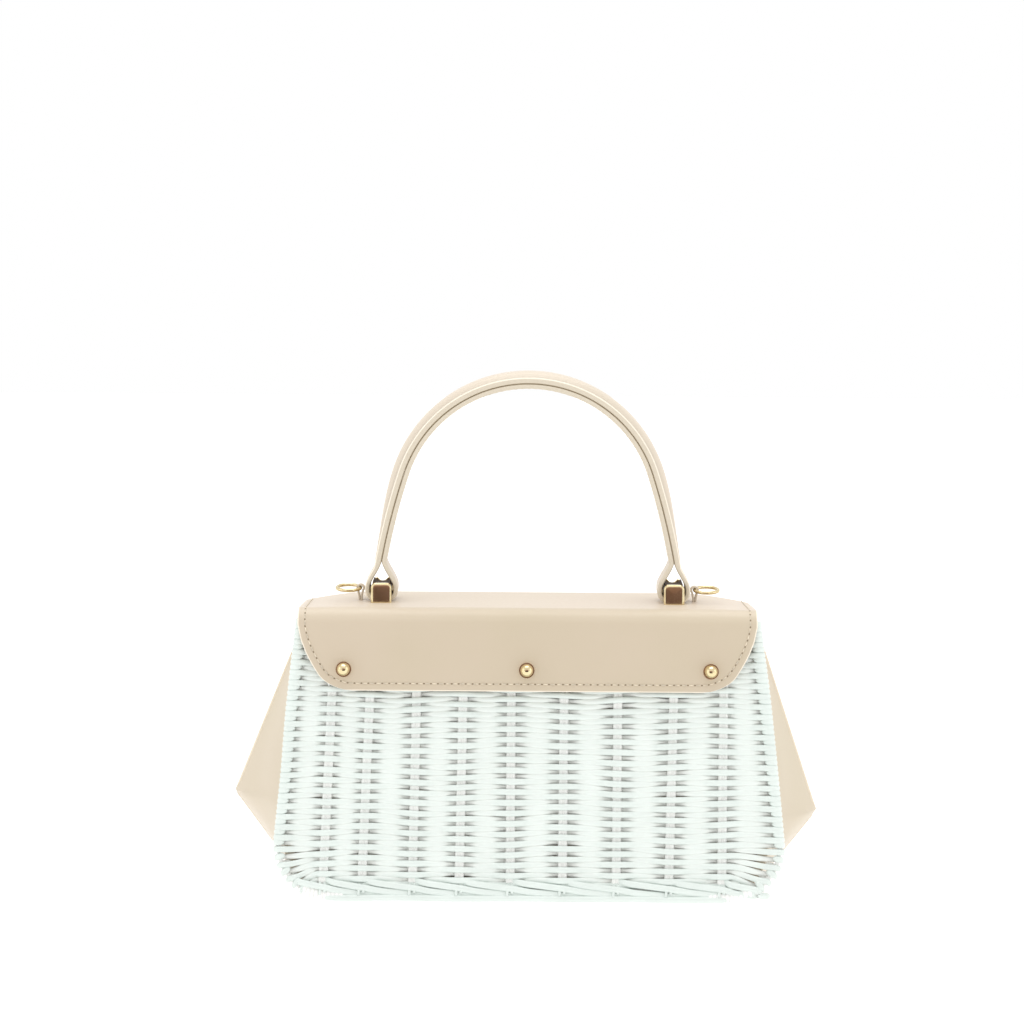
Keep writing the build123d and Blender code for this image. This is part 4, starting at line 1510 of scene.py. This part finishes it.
    def sheet_points(self, r: float, trim: float, groove: float) -> tuple:
        """A grid over the flap that is finer beside its edges, pressed in along the seam.

        The hollow at a distance d from the edge is groove exp(-((d - inset) / width)^2).

        Args:
            r: Distance of the face from the folds' middles.
            trim: How far the sheet ends inside the flap's outline.
            groove: Depth of the hollow that the stitches pull.

        Returns:
            The points and their faces.
        """
        near = np.array([0, 0.5, 1.2, 2.0, 2.8, 3.4, 3.7, 4.0, 4.6, 5.6, 7.2, 9.5, 12.5, 16.0, 20.0])
        total = self.marks[-1]
        folds = [np.linspace(self.marks[k] - 1, self.marks[k + 1] + 1, 15) for k in (1, 3)]
        flats = [np.linspace(50.0, 94.0, 14), np.linspace(113.0, total - 21, 20)]
        straight = np.concatenate([[26.0], *flats])
        s = np.unique(np.concatenate([near, total - near, *folds, straight]).round(3))
        s = s[(s >= 0) & (s <= total)]
        held = np.clip(s, trim, total - trim)
        half = self.half(held) - trim
        edge = np.concatenate([near, [26.0, 34.0, 42.0, 50.0, 58.0, 66.0, 74.0, 80.0]])
        usual_half = 100.0
        share = np.concatenate([1 - edge / usual_half, np.linspace(0.16, 0, 9)])
        a = np.unique(np.concatenate([share, -share]).round(4))
        x = half[:, None] * a
        flat = np.stack([x, np.broadcast_to(held[:, None], x.shape)], axis=-1)
        edge_line = self.outline(0.0)[::2]
        away = np.array([np.linalg.norm(row[:, None] - edge_line, axis=-1).min(axis=1) for row in flat])
        press = groove * np.exp(-((away - self.stitch_inset) / self.groove_width) ** 2)
        outer = self.at(x, np.broadcast_to(held[:, None], x.shape), r)
        below = self.at(x, np.broadcast_to(held[:, None], x.shape), r - 1.0)
        points = outer + (below - outer) * press[..., None]
        return points, grid_faces(*points.shape[:2])

    def hinge(self, piece: bpy.types.Object, replaced: list) -> None:
        """Bakes a piece's place into its mesh and hides the nodes that it stands for.

        Args:
            piece: The finished piece.
            replaced: The CAD nodes that it replaces.
        """
        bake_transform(piece)
        if replaced:
            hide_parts(*replaced)
        LOG.info("%s: %d faces", piece.name, len(piece.data.polygons))

    def build_layer(
        self, name: str, r: float, thick: float, trim: float, materials: list, nodes: list,
        groove: float,
    ) -> None:
        """Builds one layer of the flap as a closed sheet; its edge strip and rim take the last finish, on the
        leather the edge paint whitened into a painted highlight.

        Args:
            name: The piece's name.
            r: Distance of the layer's outer face from the folds' middles.
            thick: Its thickness.
            trim: How far it ends inside the flap's outline.
            materials: The face's material and, where the edge has its own, that one.
            nodes: The CAD nodes that it replaces.
            groove: Depth of the hollow that the stitches pull.
        """
        points, faces = self.sheet_points(r, trim, groove)
        shell = Shell()
        shell.add(points, faces)
        # painted highlight: the outer rows and columns and the rim take the last finish, the whitened edge
        # colour on the leather
        painted_highlight_strip = np.full((points.shape[0] - 1, points.shape[1] - 1), len(materials) - 1)
        painted_highlight_strip[1:-1, 1:-1] = 0
        shell.finishes[:] = painted_highlight_strip.ravel().tolist()
        piece = shell.piece(name, materials, closed=False)
        thicken(piece, thick, 0.45, rim_finish=len(materials) - 1)
        self.hinge(piece, nodes)

    def build_seam(self) -> None:
        """Sews the edge: a thread capsule from hole to hole and, under each end, a dark disc of painted shade
        for the awl hole.
        """
        line = self.outline(self.stitch_inset)
        length = np.linalg.norm(np.diff(line, axis=0), axis=1).sum()
        holes = resample(line, int(length / self.stitch_pitch) + 1)
        spots = self.at(holes[:, 0], holes[:, 1], self.fold_r)
        lifted = self.at(holes[:, 0], holes[:, 1], self.fold_r + 1.0)
        shell = Shell()
        shell.add_tubes(stitches(spots, lifted - spots, 0.02, self.thread_r))
        self.hinge(shell.piece("flap_stitches", [self.palette.thread]), [])
        shell = Shell()
        shell.add(*awl_holes(spots, lifted - spots, 0.03, self.hole_r))
        self.hinge(shell.piece("flap_awl_holes", [self.palette.hole], closed=False), [])

    def build(self) -> None:
        """Builds leather, lining and seam."""
        self.build_layer(
            "flap_leather", self.fold_r, self.leather, 0.0, [self.palette.leather, self.palette.painted_highlight_edge],
            ["flap_back", "flap_cover"], self.groove,
        )
        self.build_layer(
            "flap_suede", self.fold_r - self.leather - 0.02, self.lining, 0.25, [self.palette.suede],
            ["flap_back_lining", "flap_cover_lining"], 0.0,
        )
        self.build_seam()


def stitches(spots: np.ndarray, normals: np.ndarray, sink: float, radius: float) -> np.ndarray:
    """Thread between neighbouring holes.

    Each stitch is a capsule from hole to hole whose height above the leather is an arch,
    0.55 radius (1 - 1.6 (|u| / 0.7)^6) with u from -1 at one hole to 1 at the next, so that
    both ends dip into their holes.

    Args:
        spots: The holes in order.
        normals: Unit normals at the holes.
        sink: How far the seam lies below the face.
        radius: Of the thread.

    Returns:
        Rings of every stitch.
    """
    start, stop = spots[:-1], spots[1:]
    normal = unit(normals[:-1] + normals[1:])[:, None]
    u = np.linspace(-0.66, 0.66, 6)
    middle = (start + stop)[:, None] / 2 + (stop - start)[:, None] / 2 * u[:, None]
    path = middle + normal * (radius * 0.55 * (1 - (np.abs(u) / 0.7) ** 6 * 1.6) - sink)[:, None]
    along = unit(stop - start)[:, None]
    side = np.cross(along, normal)
    angle = np.arange(6) * pi / 3
    full = (radius * np.array([0.45, 0.9, 1.0, 1.0, 0.9, 0.45]))[:, None, None]
    ring = np.cos(angle)[:, None] * side[:, :, None] + np.sin(angle)[:, None] * normal[:, :, None]
    return path[:, :, None] + full * ring


def awl_holes(spots: np.ndarray, normals: np.ndarray, sink: float, radius: float) -> tuple:
    """Small dark discs of painted shade at the holes, sink below the face.

    A disc's rim is radius (cos(angle) along + 0.8 sin(angle) side), at eight angles.

    Args:
        spots: The holes in order.
        normals: Unit normals at the holes.
        sink: How far they lie below the face.
        radius: Of a hole.

    Returns:
        The points and the faces.
    """
    along = unit(np.roll(spots, -1, axis=0) - spots)
    side = unit(np.cross(normals, along))
    along = np.cross(side, normals)
    angle = np.arange(8) * pi / 4
    rim = radius * (np.cos(angle)[:, None] * along[:, None] + 0.8 * np.sin(angle)[:, None] * side[:, None])
    points = spots[:, None] + rim - sink * normals[:, None]
    faces = np.arange(8)[None] + 8 * np.arange(len(spots))[:, None]
    return points, faces


# ---------------------------------------------------------------- metal and handle
@dataclass
class Bridge:
    """Gilt bridge: two square legs with a broad rounded bevel and a hollow-topped bar between them."""

    palette: Palette
    hand: Hand
    width: float = 10.6
    height: float = 10.2
    leg: float = 3.0
    corner: float = 2.6
    bevel: float = 1.25
    top_width: float = 8.8
    dip: float = 1.8
    dome: float = 0.07  # how far a leg's polished face swells
    draft: float = 0.6  # how much thicker a leg is at its foot, as castings are
    under: float = 3.0  # clear height below the bar
    softened: float = 0.25  # rounding of every sharp edge
    flat_area: float = 8.0  # a face larger than this is shaded flat

    def leg_outline(self, inset: float, dip: float) -> np.ndarray:
        """Front outline of a leg: up one side, round both top corners and down the other.

        Between the corners the top sinks by dip (1 - u^2), with u from -1 to 1.

        Args:
            inset: How far inside the leg's own outline it lies.
            dip: How deep the top's hollow is.

        Returns:
            The points in x and z, from the middle of the foot.
        """
        half, top = self.width / 2 - inset, self.height - inset
        r = max(self.corner - inset, 0.35)
        turn = np.linspace(0, pi / 2, 7)
        right = np.stack([half - r + r * np.cos(turn), top - r + r * np.sin(turn)], axis=1)
        u = np.linspace(1, -1, 9)[1:-1]
        middle = np.stack([(half - r) * u, top - dip * (1 - u**2)], axis=1)
        left = right[::-1] * (-1, 1)
        foot = np.array([[half, 0.0], [half, 0.2]])
        return np.concatenate([foot, right, middle, left, foot[::-1] * (-1, 1)])

    def build(self) -> None:
        """Stacks leg outlines through a quarter-round bevel, and carries the bar's section between.

        Across a leg's face the outlines swell by dome (1 - u^2), with u from 0 in the middle to
        1 at the bevel, and towards the foot the leg grows by draft (1 - z / height).
        """
        name = f"bridge_{self.hand.name.lower()}"
        low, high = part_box(name)
        centre, foot, reach = (low.x + high.x) / 2 / MM, low.z / MM, high.y / MM
        shell = Shell()
        bend = np.linspace(0, pi / 2, 6)
        face = np.array([4.6, 3.9, 3.2, 2.5, 1.9])  # insets of the outlines on a leg's face
        middle = 4.9
        swell = self.dome * (1 - ((middle - face) / (middle - self.bevel)) ** 2)
        insets = np.concatenate([face, self.bevel * (1 - np.sin(bend)), [0.0, 0.25]])
        depths = np.concatenate([-swell, self.bevel * (1 - np.cos(bend)), [self.leg - 0.25, self.leg]])
        for facing in (-1.0, 1.0):
            rings = []
            for inset, depth in zip(insets, depths):
                outline = self.leg_outline(inset, self.dip if facing > 0 else 0.0)
                thicker = self.draft * (1 - outline[:, 1] / self.height) * (depth < self.leg / 2)
                y = facing * (reach - depth + thicker - self.draft / 2)
                rings.append(np.column_stack([centre + outline[:, 0], y, foot + outline[:, 1]]))
            shell.add_tubes(np.array(rings))
        u = np.linspace(1, -1, 11)
        top_x = u * self.top_width / 2
        top_z = high.z / MM - foot - self.dip * (1 - u**2)
        x = np.concatenate([[-self.width / 2 + 0.25, self.width / 2 - 0.25], top_x])
        z = np.concatenate([[self.under, self.under], top_z])
        y = np.array([-1.0, 1.0])[:, None] * (reach - self.leg + 0.3)
        bar = np.stack(np.broadcast_arrays(centre + x, y, foot + z), axis=-1)
        # the bar takes the second finish, a dark brass that is painted shade
        shell.add_tubes(bar, finish=1)
        piece = shell.piece(name + "_casting", [self.palette.gilt, self.palette.painted_shade])
        edge = piece.modifiers.new("softened", "BEVEL")
        edge.width = self.softened * MM
        edge.segments = 2
        edge.angle_limit = radians(38)
        settle(piece)
        areas = np.zeros(len(piece.data.polygons), dtype=np.float32)
        piece.data.polygons.foreach_get("area", areas)
        piece.data.polygons.foreach_set("use_smooth", areas < self.flat_area * MM**2)
        finish_piece(piece, Body.FLAP, [name])


@dataclass
class Handle:
    """Two-ply handle: padded outer ply, flat inner ply, parted below into strap loops round the bars."""

    palette: Palette
    width: float = 16.0
    arch_z: float = 192.7
    arch_r: float = 73.0
    depth: float = 6.2  # of the padded ply over the arch
    foot_depth: float = 3.6
    inner: float = 2.6
    arch_end: float = 18.0
    split_z: float = 168.0
    strap: float = 2.5
    lip: float = 3.1  # thickness of the padded ply at its sewn edge
    dome_half: float = 7.0
    stitch_pitch: float = 3.5
    thread_r: float = 0.27
    loop: tuple = (
        (0.2, 166.8), (1.55, 163.6), (3.95, 159.4), (5.6, 156.0), (5.95, 153.2),
        (5.6, 151.2), (4.2, 149.95), (2.0, 149.6), (0.0, 149.6),
    )  # one side of a strap's inner face, from the middle of its bar

    def seam_line(self, outwards: float) -> np.ndarray:
        """The line between the plies from one loop's foot to the other's.

        A circle over the arch, then a parabola that leaves it tangentially and ends at the
        split, and the loop's own curve below.

        Args:
            outwards: 1 for the outer ply's loops, -1 for the inner ply's.

        Returns:
            Points in x and z, evenly spaced.
        """
        foot_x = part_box("bridge_right")[0].x / MM + 5.3
        r = self.arch_r - self.depth
        turn = np.radians(np.linspace(90.0, self.arch_end, 60))
        arch = np.stack([r * np.cos(turn), self.arch_z + r * np.sin(turn)], axis=1)
        end = np.array([foot_x, self.split_z])
        heading = np.array([sin(turn[-1]), -cos(turn[-1])])
        chord = end - arch[-1]
        elbow = arch[-1] + heading * (chord @ chord) / (2 * chord @ heading)
        t = np.linspace(0, 1, 30)[1:, None]
        leg = (1 - t) ** 2 * arch[-1] + 2 * t * (1 - t) * elbow + t**2 * end
        loop = spline([(foot_x, self.split_z)] + [(foot_x + outwards * x, z) for x, z in self.loop], 60)[1:]
        half = np.concatenate([arch, leg, loop])
        return resample(np.concatenate([half[:0:-1] * (-1, 1), half]), 300)

    def build_outer(self) -> None:
        """Builds the padded ply.

        Its section is a flat lip along both edges and a dome h (1 - |y/7|^2.6)^0.6 between
        them; h fades to nothing at the split, below which the ply is a plain strap.
        """
        line = self.seam_line(1.0)
        z = line[:, 1]
        share = smooth((z - self.split_z + 1.0) / (self.arch_z + 21.0 - self.split_z))
        total = self.foot_depth + (self.depth - self.foot_depth) * share
        below = smooth((self.split_z + 1.0 - z) / 6.0)
        total = total + (self.strap - total) * below
        lip = np.minimum(self.lip, total)
        dome = np.maximum(total - lip, 0.0)
        half = self.width / 2
        y = np.linspace(-self.dome_half, self.dome_half, 19)
        crown = (1 - np.abs(y / self.dome_half) ** 2.6) ** 0.6
        # the rounded edge, up from the seam; where on_lip is 1 it is measured from the lip's top
        left_y = np.array([-half + 0.9, -half + 0.2, -half, -half, -half + 0.12, -half + 0.5, -half + 0.8])
        left_n = np.array([0.0, 0.22, 0.5, -0.55, -0.2, 0.04, 0.0])
        on_lip = np.array([0, 0, 0, 1, 1, 1, 1])
        edge = left_n[None] + on_lip[None] * lip[:, None]
        beside = (dome[:, None] > 0.2) * (crown < 0.2)  # the groove where the dome meets the lip
        middle = lip[:, None] - 0.18 * beside + dome[:, None] * crown
        n = np.concatenate([edge, middle, edge[:, ::-1]], axis=1)
        ys = np.broadcast_to(np.concatenate([left_y, y, -left_y[::-1]]), n.shape)
        shell = Shell()
        shell.add_tubes(carry(line, np.stack([ys, n], axis=-1)))
        # finishes round the section: glue line, painted edge, painted highlight on the lip's rounded edge,
        # then the leather of the dome
        side = [3, 3, 1, 2, 2, 2] + [0] * (n.shape[1] - 13) + [2, 2, 2, 1, 3, 3, 0]
        shell.finishes[: (len(line) - 1) * n.shape[1]] = side * (len(line) - 1)
        piece = shell.piece(
            "handle_padded_ply",
            [self.palette.handle_leather, self.palette.edge, self.palette.painted_highlight_edge, self.palette.glue_line],
        )
        finish_piece(piece, Body.FLAP, ["handle_outer", "handle_core"])

    def build_inner(self) -> None:
        """Builds the flat inner ply: a strip with rounded edges on the inner side of the seam."""
        line = self.seam_line(-1.0)
        thick = np.where(line[:, 1] > self.split_z, self.inner, self.strap)[:, None]
        half = self.width / 2
        y = np.array([-half + 0.9, -half + 0.2, -half, -half, -half + 0.4, -half + 1.2])
        y = np.concatenate([y, -y[::-1]])
        n = np.array([-0.04, -0.25, -0.5, -1.0, -1.0, -1.0, -1.0, -1.0, -1.0, -0.5, -0.25, -0.04])
        deep = np.array([0, 0, 0, 1, 1, 1, 1, 1, 1, 0, 0, 0])  # 1 where a point lies on the inner face
        lift = np.array([0, 0, 0, 0.55, 0.1, 0, 0, 0.1, 0.55, 0, 0, 0])
        section_n = np.where(deep == 1, -thick + lift, n)
        shell = Shell()
        shell.add_tubes(carry(line, np.stack([np.broadcast_to(y, section_n.shape), section_n], axis=-1)))
        side = [2, 2, 1, 1, 0, 0, 0, 1, 1, 2, 2, 0]
        shell.finishes[: (len(line) - 1) * len(y)] = side * (len(line) - 1)
        piece = shell.piece(
            "handle_flat_ply", [self.palette.handle_leather, self.palette.edge, self.palette.glue_line]
        )
        finish_piece(piece, Body.FLAP, ["handle_inner"])

    def build_seams(self) -> None:
        """Sews the plies together down to the split, seen on the lip and on the inner face."""
        line = self.seam_line(1.0)
        line = line[line[:, 1] > self.split_z + 2.0]
        length = np.linalg.norm(np.diff(line, axis=0), axis=1).sum()
        line = resample(line, int(length / self.stitch_pitch) + 1)
        t = unit(np.gradient(line, axis=0))
        normal = np.stack([-t[:, 1], 0 * t[:, 0], t[:, 0]], axis=1)
        shell = Shell()
        for y, n, way in ((7.25, self.lip, 1.0), (6.6, -self.inner, -1.0)):
            for side in (-1.0, 1.0):
                spots = np.stack([line[:, 0], np.full(len(line), side * y), line[:, 1]], axis=1) + n * normal
                shell.add_tubes(stitches(spots, way * normal, 0.32, self.thread_r))
        piece = shell.piece("handle_stitches", [self.palette.thread])
        finish_piece(piece, Body.FLAP, [])

    def build(self) -> None:
        """Builds both plies and their seams."""
        self.build_outer()
        self.build_inner()
        self.build_seams()


@dataclass
class StrapRing:
    """A round gilt ring held level in a narrow leather keeper that comes up through the flap."""

    palette: Palette
    hand: Hand
    keeper_t: float = 1.0
    play: float = 0.35
    tip: float = 6.0  # how far its front hangs down in the play of the keeper, in degrees
    segments: int = 64
    sides: int = 14

    def build(self) -> None:
        """Builds the ring as a torus and the keeper as a strip bent round its wire.

        The torus is (R + r cos(angle)) (cos(around), sin(around)) and r sin(angle), turned by
        the tip about X.
        """
        hand = self.hand.name.lower()
        low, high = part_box(f"ring_{hand}")
        wire = (high.z - low.z) / 2 / MM
        middle = np.array([(low.x + high.x) / 2, 0.0, (low.z + high.z) / 2]) / MM
        ring_r = (high.x - low.x) / 2 / MM - wire
        around = np.linspace(0, 2 * pi, self.segments + 1)[:-1]
        angle = np.arange(self.sides) * 2 * pi / self.sides
        far = ring_r + wire * np.cos(angle)
        x = middle[0] + far * np.cos(around)[:, None]
        y = far * np.sin(around)[:, None]
        z = wire * np.sin(angle) + 0 * x
        tip = radians(self.tip)
        y, z = y * cos(tip) - z * sin(tip), middle[2] + y * sin(tip) + z * cos(tip)
        shell = Shell()
        faces = grid_faces(self.segments + 1, self.sides, ring=True) % (self.segments * self.sides)
        shell.add(np.stack([x, y, z], axis=-1), faces)
        ring = shell.piece(f"strap_ring_{hand}", [self.palette.gilt])
        finish_piece(ring, Body(f"ring_{hand}"), [f"ring_{hand}"])

        box_low, box_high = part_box(f"ring_keeper_{hand}")
        pin_x = (box_low.x + box_high.x) / 2 / MM
        r = wire + self.play + self.keeper_t / 2
        turn = np.linspace(-0.25 * pi, 1.25 * pi, 26)
        bend = np.stack([pin_x + r * np.cos(turn), middle[2] + r * np.sin(turn)], axis=1)
        foot = box_low.z / MM + 0.1
        gap = self.keeper_t / 2 + 0.05
        legs = [np.array([[pin_x + side * gap, foot], [pin_x + side * gap, foot + 3.0]]) for side in (1, -1)]
        line = resample(np.concatenate([legs[0], bend, legs[1][::-1]]), 60)
        y = (box_high.y - box_low.y) / 2 / MM * np.array([-0.9, -1, -1, -0.9, 0.9, 1, 1, 0.9])
        n = self.keeper_t / 2 * np.array([-1, -0.7, 0.7, 1, 1, 0.7, -0.7, -1])
        shell = Shell()
        shell.add_tubes(carry(line, np.stack([y, n], axis=-1)))
        keeper = shell.piece(f"keeper_{hand}", [self.palette.handle_leather])
        finish_piece(keeper, Body.FLAP, [f"ring_keeper_{hand}"])


# ---------------------------------------------------------------- studio
@dataclass
class Studio:
    """Light table, soft boxes, a dark flag for the mirrors of the metal, and the camera."""

    camera_at: tuple = (-8.3, -1520.0, 380.0)
    pitch: float = 7.02
    roll: float = 0.4
    lens: float = 104.8
    sensor: float = 36.0
    aim: tuple = (0.0, 0.0, 0.1)  # where the soft boxes point, in metres
    table: float = 6000.0
    flag_y: float = -420.0
    flag_half: float = 210.0
    flag_rise: tuple = (1.0, 310.0)

    def build_table(self) -> None:
        """Lays the opal acrylic table and its glow from below."""
        material, tree, shader, place = new_material("opal_acrylic")
        haze = add_node(tree, "ShaderNodeTexNoise", {"Vector": place, "Scale": per_metre(900.0)})
        tint = add_node(
            tree, "ShaderNodeMix",
            {0: haze.outputs[0], 6: linear_rgba("9A9A98"), 7: linear_rgba("A2A2A1")}, data_type="RGBA",
        )
        wire(tree, shader, {
            "Base Color": tint.outputs[2], "Roughness": 0.6,
            "Emission Color": (1.0, 1.0, 1.0, 1.0), "Emission Strength": 0.9,
        })
        half = self.table / 2
        shell = Shell()
        corners = np.array([(-half, -half, 0.0), (half, -half, 0.0), (half, half, 0.0), (-half, half, 0.0)])
        shell.add(corners, np.array([[0, 1, 2, 3]]))
        shell.piece("light_table", [material], closed=False)

    def build_flag(self) -> None:
        """Stands a dark card in front of the bag that only mirrors see, paler towards its top."""
        material, tree, shader, place = new_material("dark_flag")
        felt = add_node(
            tree, "ShaderNodeTexNoise", {"Vector": place, "Scale": per_metre(60.0), "Detail": 3.0}
        )
        height = add_node(tree, "ShaderNodeSeparateXYZ", {"Vector": place})
        fade = add_node(
            tree, "ShaderNodeMapRange", {"Value": height.outputs["Z"], "From Min": 0.1, "From Max": 0.2}
        )
        blot = add_node(
            tree, "ShaderNodeMath", {0: felt.outputs[0], 1: fade.outputs[0]}, operation="MULTIPLY"
        )
        tint = add_node(
            tree, "ShaderNodeMix",
            {0: blot.outputs[0], 6: linear_rgba("140D0A"), 7: linear_rgba("A88480")}, data_type="RGBA",
        )
        wire(tree, shader, {
            "Base Color": tint.outputs[2], "Emission Color": tint.outputs[2],
            "Emission Strength": 0.8, "Roughness": 1.0,
        })
        shell = Shell()
        half, y, (low, high) = self.flag_half, self.flag_y, self.flag_rise
        corners = np.array([(-half, y, low), (half, y, low), (half, y, high), (-half, y, high)])
        shell.add(corners, np.array([[0, 1, 2, 3]]))
        flag = shell.piece("flag", [material], closed=False)
        flag.visible_camera = False
        flag.visible_diffuse = False
        flag.visible_shadow = False
        flag.visible_transmission = False

    def build_lights(self) -> None:
        """Hangs a large box overhead and one at each side in an even white room."""
        world = bpy.data.worlds.new("white_room")
        bpy.context.scene.world = world
        world.use_nodes = True
        ground = world.node_tree.nodes["Background"]
        ground.inputs["Color"].default_value = (1.0, 1.0, 1.0, 1.0)
        ground.inputs["Strength"].default_value = 1.0
        boxes = (  # name, place and size in metres, watts
            ("overhead", (0.0, 0.1, 1.5), 1.2, 8.5),
            ("left_box", (-1.5, -0.5, 0.6), 0.9, 1.6),
            ("right_box", (1.5, -0.4, 0.6), 0.9, 1.6),
        )
        for name, place, size, power in boxes:
            lamp = bpy.data.lights.new(name, "AREA")
            lamp.shape = "SQUARE"
            lamp.size = size
            lamp.energy = power
            made = bpy.data.objects.new(name, lamp)
            aim = Vector(self.aim) - Vector(place)
            made.matrix_world = Matrix.Translation(place) @ aim.to_track_quat("-Z", "Y").to_matrix().to_4x4()
            bpy.context.scene.collection.objects.link(made)

    def build_camera(self) -> None:
        """Places the camera higher than the handle, tipped down and rolled a little."""
        lens = bpy.data.cameras.new("camera")
        lens.lens = self.lens
        lens.sensor_width = self.sensor
        lens.clip_end = 50.0
        made = bpy.data.objects.new("camera", lens)
        tip = Matrix.Rotation(radians(90.0 - self.pitch), 4, "X")
        turn = Matrix.Rotation(radians(self.roll), 4, "Z")
        made.matrix_world = Matrix.Translation(Vector(self.camera_at) * MM) @ tip @ turn
        bpy.context.scene.collection.objects.link(made)
        bpy.context.scene.camera = made

    def build(self) -> None:
        """Sets up the studio, shown without a film curve so that whites stay white."""
        bpy.context.scene.view_settings.view_transform = "Standard"
        self.build_table()
        self.build_flag()
        self.build_lights()
        self.build_camera()


def main() -> None:
    """Builds the bag's sub-assemblies in order, then the studio."""
    logging.basicConfig(level=logging.INFO, format="%(name)s: %(message)s")
    palette = Palette()
    panels = [WovenPanel(palette, "back", -1, seed=4), WovenPanel(palette, "front", 1, seed=9)]
    for panel in panels:
        panel.build()
    shape = BagShape(panels[0])
    for hand in Hand:
        Gusset(palette, hand, shape).build()
        Bridge(palette, hand).build()
        StrapRing(palette, hand).build()
    LiningBag(palette, shape).build()
    Flap(palette, panels[0]).build()
    Handle(palette).build()
    dress(["base_panel"], palette.base_leather)
    dress(["stud_left", "stud_centre", "stud_right"], palette.gilt)
    dress(
        ["stud_nut_left", "stud_nut_centre", "stud_nut_right", "magnet_socket", "magnet_socket_washer",
         "magnet_button", "bridge_backing_left", "bridge_backing_right", "bridge_screws"],
        palette.nickel,
    )
    Studio().build()


if __name__ == "__main__":
    main()
